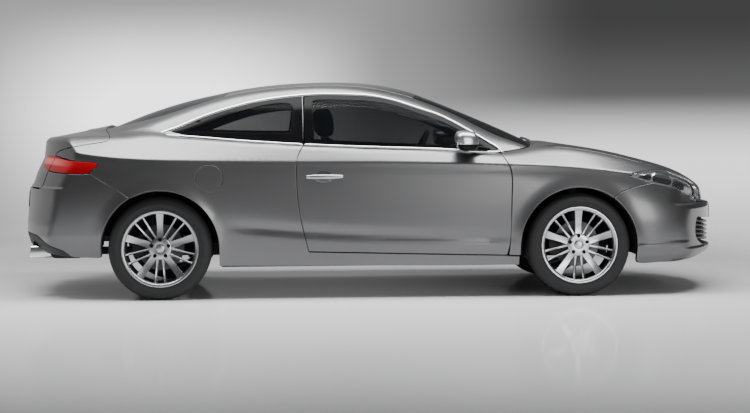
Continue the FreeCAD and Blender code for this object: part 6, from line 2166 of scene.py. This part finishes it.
@dataclass
class Cabin(Assembly):
    """Front seats with their bases, and the rear bench."""

    form: BodyForm
    palette: Palette

    def build(self) -> None:
        """Build the seats."""
        pads = (
            SeatPad("cushion", (0.150, -0.365, 0.412), (0.245, 0.250, 0.072), 4, 0.030,
                    channels=(-0.45, 0.0, 0.45)),
            SeatPad("back", (-0.236, -0.365, 0.735), (0.295, 0.245, 0.066), 107, 0.032,
                    channels=(-0.5, -0.15, 0.2)),
            SeatPad("headrest", (-0.318, -0.365, 1.125), (0.092, 0.125, 0.046), 98, 0.0, 0.02),
        )
        for side, mirror in SIDES:
            for number, pad in enumerate(pads):
                piece = pad.build(self.palette.leather, mirror)
                piece.name = f"front_seat_{pad.name}_{side}"
                self.fit(piece, "chassis", "seat", *(("front_seats",) if not mirror and number == 0 else ()))
            self.seat_base(side, mirror)
        bench = (
            SeatPad("rear_cushion", (-0.765, 0.0, 0.405), (0.250, 0.575, 0.064), -3, 0.0,
                    channels=(-0.4, 0.1)),
            SeatPad("rear_back", (-1.062, 0.0, 0.690), (0.245, 0.575, 0.070), 112, 0.0,
                    channels=(-0.45, 0.0, 0.45)),
        )
        for number, pad in enumerate(bench):
            piece = pad.build(self.palette.leather)
            self.fit(piece, "chassis", "seat", *(("rear_seat",) if number == 0 else ()))

    def seat_base(self, side: str, mirror: bool) -> None:
        """Runners and the moulded shell under a front seat."""
        pieces = []
        for off in (-0.150, 0.150):
            line = np.array([(-0.10, -0.365 + off, 0.262), (0.30, -0.365 + off, 0.262)])
            up, out = np.tile((0.0, 0.0, 1.0), (2, 1)), np.tile((0.0, 1.0, 0.0), (2, 1))
            section = [(-0.030, -0.014), (-0.024, -0.018), (0.050, -0.012), (0.056, 0.0), (0.050, 0.012),
                       (-0.024, 0.018), (-0.030, 0.014)]
            pieces.append(sweep("runner", line, up, out, section, self.palette.iron, mirror))
        line = smooth_curve(np.array([(-0.215, -0.365, 0.420), (-0.180, -0.365, 0.350),
                                      (-0.06, -0.365, 0.336), (0.34, -0.365, 0.336)]), 0.02)
        way = np.gradient(line, axis=0)
        way /= np.linalg.norm(way, axis=1, keepdims=True)
        side_way = np.tile((0.0, 1.0, 0.0), (len(line), 1))
        out = np.cross(way, side_way)
        section = [(0.235 * math.cos(t), 0.016 * math.sin(t)) for t in np.radians(np.arange(0, 360, 20))]
        pieces.append(sweep("shell", line, side_way, out, section, self.palette.trim, mirror))
        post = np.array([(-0.322, -0.365, 0.985), (-0.318, -0.365, 1.06)])
        for off in (-0.045, 0.045):
            up, out = np.tile((1.0, 0.0, 0.0), (2, 1)), np.tile((0.0, 1.0, 0.0), (2, 1))
            section = [(0.006 * math.cos(t), 0.006 * math.sin(t)) for t in np.radians(np.arange(0, 360, 30))]
            pieces.append(sweep("post", post + (0, off, 0), up, out, section, self.palette.steel, mirror))
        self.fit(joined(f"front_seat_base_{side}", pieces), "chassis", "trim")


@dataclass
class CarriedParts(Assembly):
    """CAD pieces that are shown as they are, each with its own finish."""

    form: BodyForm
    palette: Palette

    def build(self) -> None:
        """Give every carried node its finish."""
        finishes = {
            "cowl": self.palette.black_plastic, "bulkhead": self.palette.under,
            "floor_pan": self.palette.under,
            "boot_tub": self.palette.carpet, "wheel_arch_liners": self.palette.liner,
            "exhaust": self.palette.iron,
            "front_knuckle_right": self.palette.iron, "front_knuckle_left": self.palette.iron,
            "front_subframe": self.palette.iron, "rear_axle": self.palette.iron,
            "engine_block": self.palette.engine, "dashboard": self.palette.trim,
            "steering_wheel": self.palette.leather,
        }
        for name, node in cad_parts.items():
            if node.hide_render:
                continue
            finish = finishes.get(name, self.palette.under)
            if not node.material_slots:
                node.data.materials.append(finish)
            for slot in node.material_slots:
                slot.material = finish
            LOG.info("%s keeps its CAD form in %s", name, finish.name)


# ------------------------------------------------------------------ studio


@dataclass
class Studio:
    """Pale floor, soft surroundings, lights and the camera."""

    camera_place: tuple = (-0.649, -13.001, 1.2)
    azimuth: float = -3.0
    pitch: float = 2.877
    roll: float = -0.326
    lens: float = 91.08
    floor_tone: tuple = (0.78, 0.78, 0.79)
    floor_radius: float = 12.0
    fade: tuple = (2.9, 7.0)
    bright: float = 2.6
    dim: float = 0.05

    def build(self) -> None:
        """Build the floor, surroundings, lights and camera."""
        self.floor()
        self.world()
        self.light("overhead_softbox", (-0.2, -0.95, 3.4), (0.0, 0.0, 0.0), (7.0, 1.5), 400)
        aim = (math.radians(88), 0.0, math.radians(24))
        self.light("side_softbox", (4.3, -9.5, 1.6), aim, (5.2, 2.9), 300)
        self.camera()

    def floor(self) -> None:
        """Round, faintly mirroring floor that fades into the surroundings."""
        count = 96
        turns = np.radians(np.linspace(0, 360, count, endpoint=False))
        edge = [(self.floor_radius * math.cos(t), self.floor_radius * math.sin(t), 0.0) for t in turns]
        faces = [(0, 1 + i, 1 + (i + 1) % count) for i in range(count)]
        tree = NodeTree("studio_floor")
        x, y = tree.axis("X"), tree.axis("Y")
        away = (x * x + y * y).power(0.5)
        cloud = tree.noise(0.6, 3.0)
        material = tree.finish(
            Base_Color=tree.mix(cloud, self.floor_tone, tuple(c * 0.97 for c in self.floor_tone)),
            Roughness=0.07 + cloud * 0.02, Alpha=1 - away.ramp(*self.fade),
            Metallic=0.22, Specular_IOR_Level=0.0)
        plain_mesh("studio_floor", np.array([(0.0, 0.0, 0.0)] + edge), faces, material)

    def world(self) -> None:
        """Soft surroundings: brightest low behind the car on the left, dim on the viewer's side."""
        tree = NodeTree("studio_surroundings", world=True)
        x, y, z = (tree.axis(name, "Generated") for name in "XYZ")
        aside = tree.node("ShaderNodeMath", {"operation": "ABSOLUTE"}, {0: x + 0.055})
        down = z * -1
        left = (1 - aside.ramp(0.012, 0.118)) * (1 - z.ramp(-0.002, 0.062)) * (1 - down.ramp(0.0, 0.06) * 0.8)
        right = x.ramp(-0.02, 0.17) * down.ramp(-0.010, 0.028) * (1 - down.ramp(0.030, 0.065) * 0.40)
        base = 0.004 + (1 - x.ramp(0.02, 0.17)) * 0.135 + (1 - z.ramp(0.0, 0.05)) * 0.030
        floor_level = down.ramp(0.064, 0.078) * 0.26
        above = z.ramp(0.30, 0.80) * 0.06
        far = (left * 0.98 + right * 0.54 + base + floor_level) * (1 - down.ramp(0.095, 0.165) * 0.86) + above
        near = 0.022 + (1 - z.ramp(-0.12, 0.05)) * 0.05 + above
        share = near + y.ramp(-0.25, 0.25) * (far - near)
        dim, bright = (tree.node("ShaderNodeBackground",
                                 inputs={"Color": (1.0, 1.0, 1.012, 1.0), "Strength": power})
                       for power in (self.dim, self.bright))
        tree.feed(tree.output.inputs[0], tree.node("ShaderNodeMixShader",
                                                   inputs={0: share, 1: dim, 2: bright}))
        tree.tree.nodes.remove(tree.shader)
        bpy.context.scene.world = tree.material

    def light(self, name: str, place: tuple, turn: tuple, size: tuple, power: float) -> None:
        """One soft rectangular light."""
        data = bpy.data.lights.new(name, "AREA")
        data.shape, data.size, data.size_y, data.energy = "RECTANGLE", *size, power
        made = bpy.data.objects.new(name, data)
        made.location, made.rotation_euler = place, turn
        bpy.context.scene.collection.objects.link(made)

    def camera(self) -> None:
        """Camera beside the car at eye height."""
        data = bpy.data.cameras.new("camera")
        data.lens, data.sensor_width, data.clip_end = self.lens, 36.0, 200.0
        made = bpy.data.objects.new("camera", data)
        bpy.context.scene.collection.objects.link(made)
        a, p, r = (math.radians(v) for v in (self.azimuth, self.pitch, self.roll))
        back_way = Vector((math.sin(a) * math.cos(p), -math.cos(a) * math.cos(p), math.sin(p)))
        right = Vector((math.cos(a), math.sin(a), 0.0))
        up = back_way.cross(right)
        turned_right = right * math.cos(r) + up * math.sin(r)
        turned_up = up * math.cos(r) - right * math.sin(r)
        turn = Matrix((turned_right, turned_up, back_way)).transposed()
        made.matrix_world = Matrix.Translation(self.camera_place) @ turn.to_4x4()
        bpy.context.scene.camera = made


def main() -> None:
    """Build the whole car and its studio."""
    logging.basicConfig(level=logging.INFO, format="%(name)s %(message)s")
    form, palette = BodyForm(), Palette()
    for assembly in (BodyShell, Glazing, Doors, Brightwork, Lamps, NoseGrille, Mirrors, WheelSet, Cabin,
                     CarriedParts):
        LOG.info("building %s", assembly.__name__)
        assembly(form, palette).build()
    Studio().build()


if __name__ == "__main__":
    main()
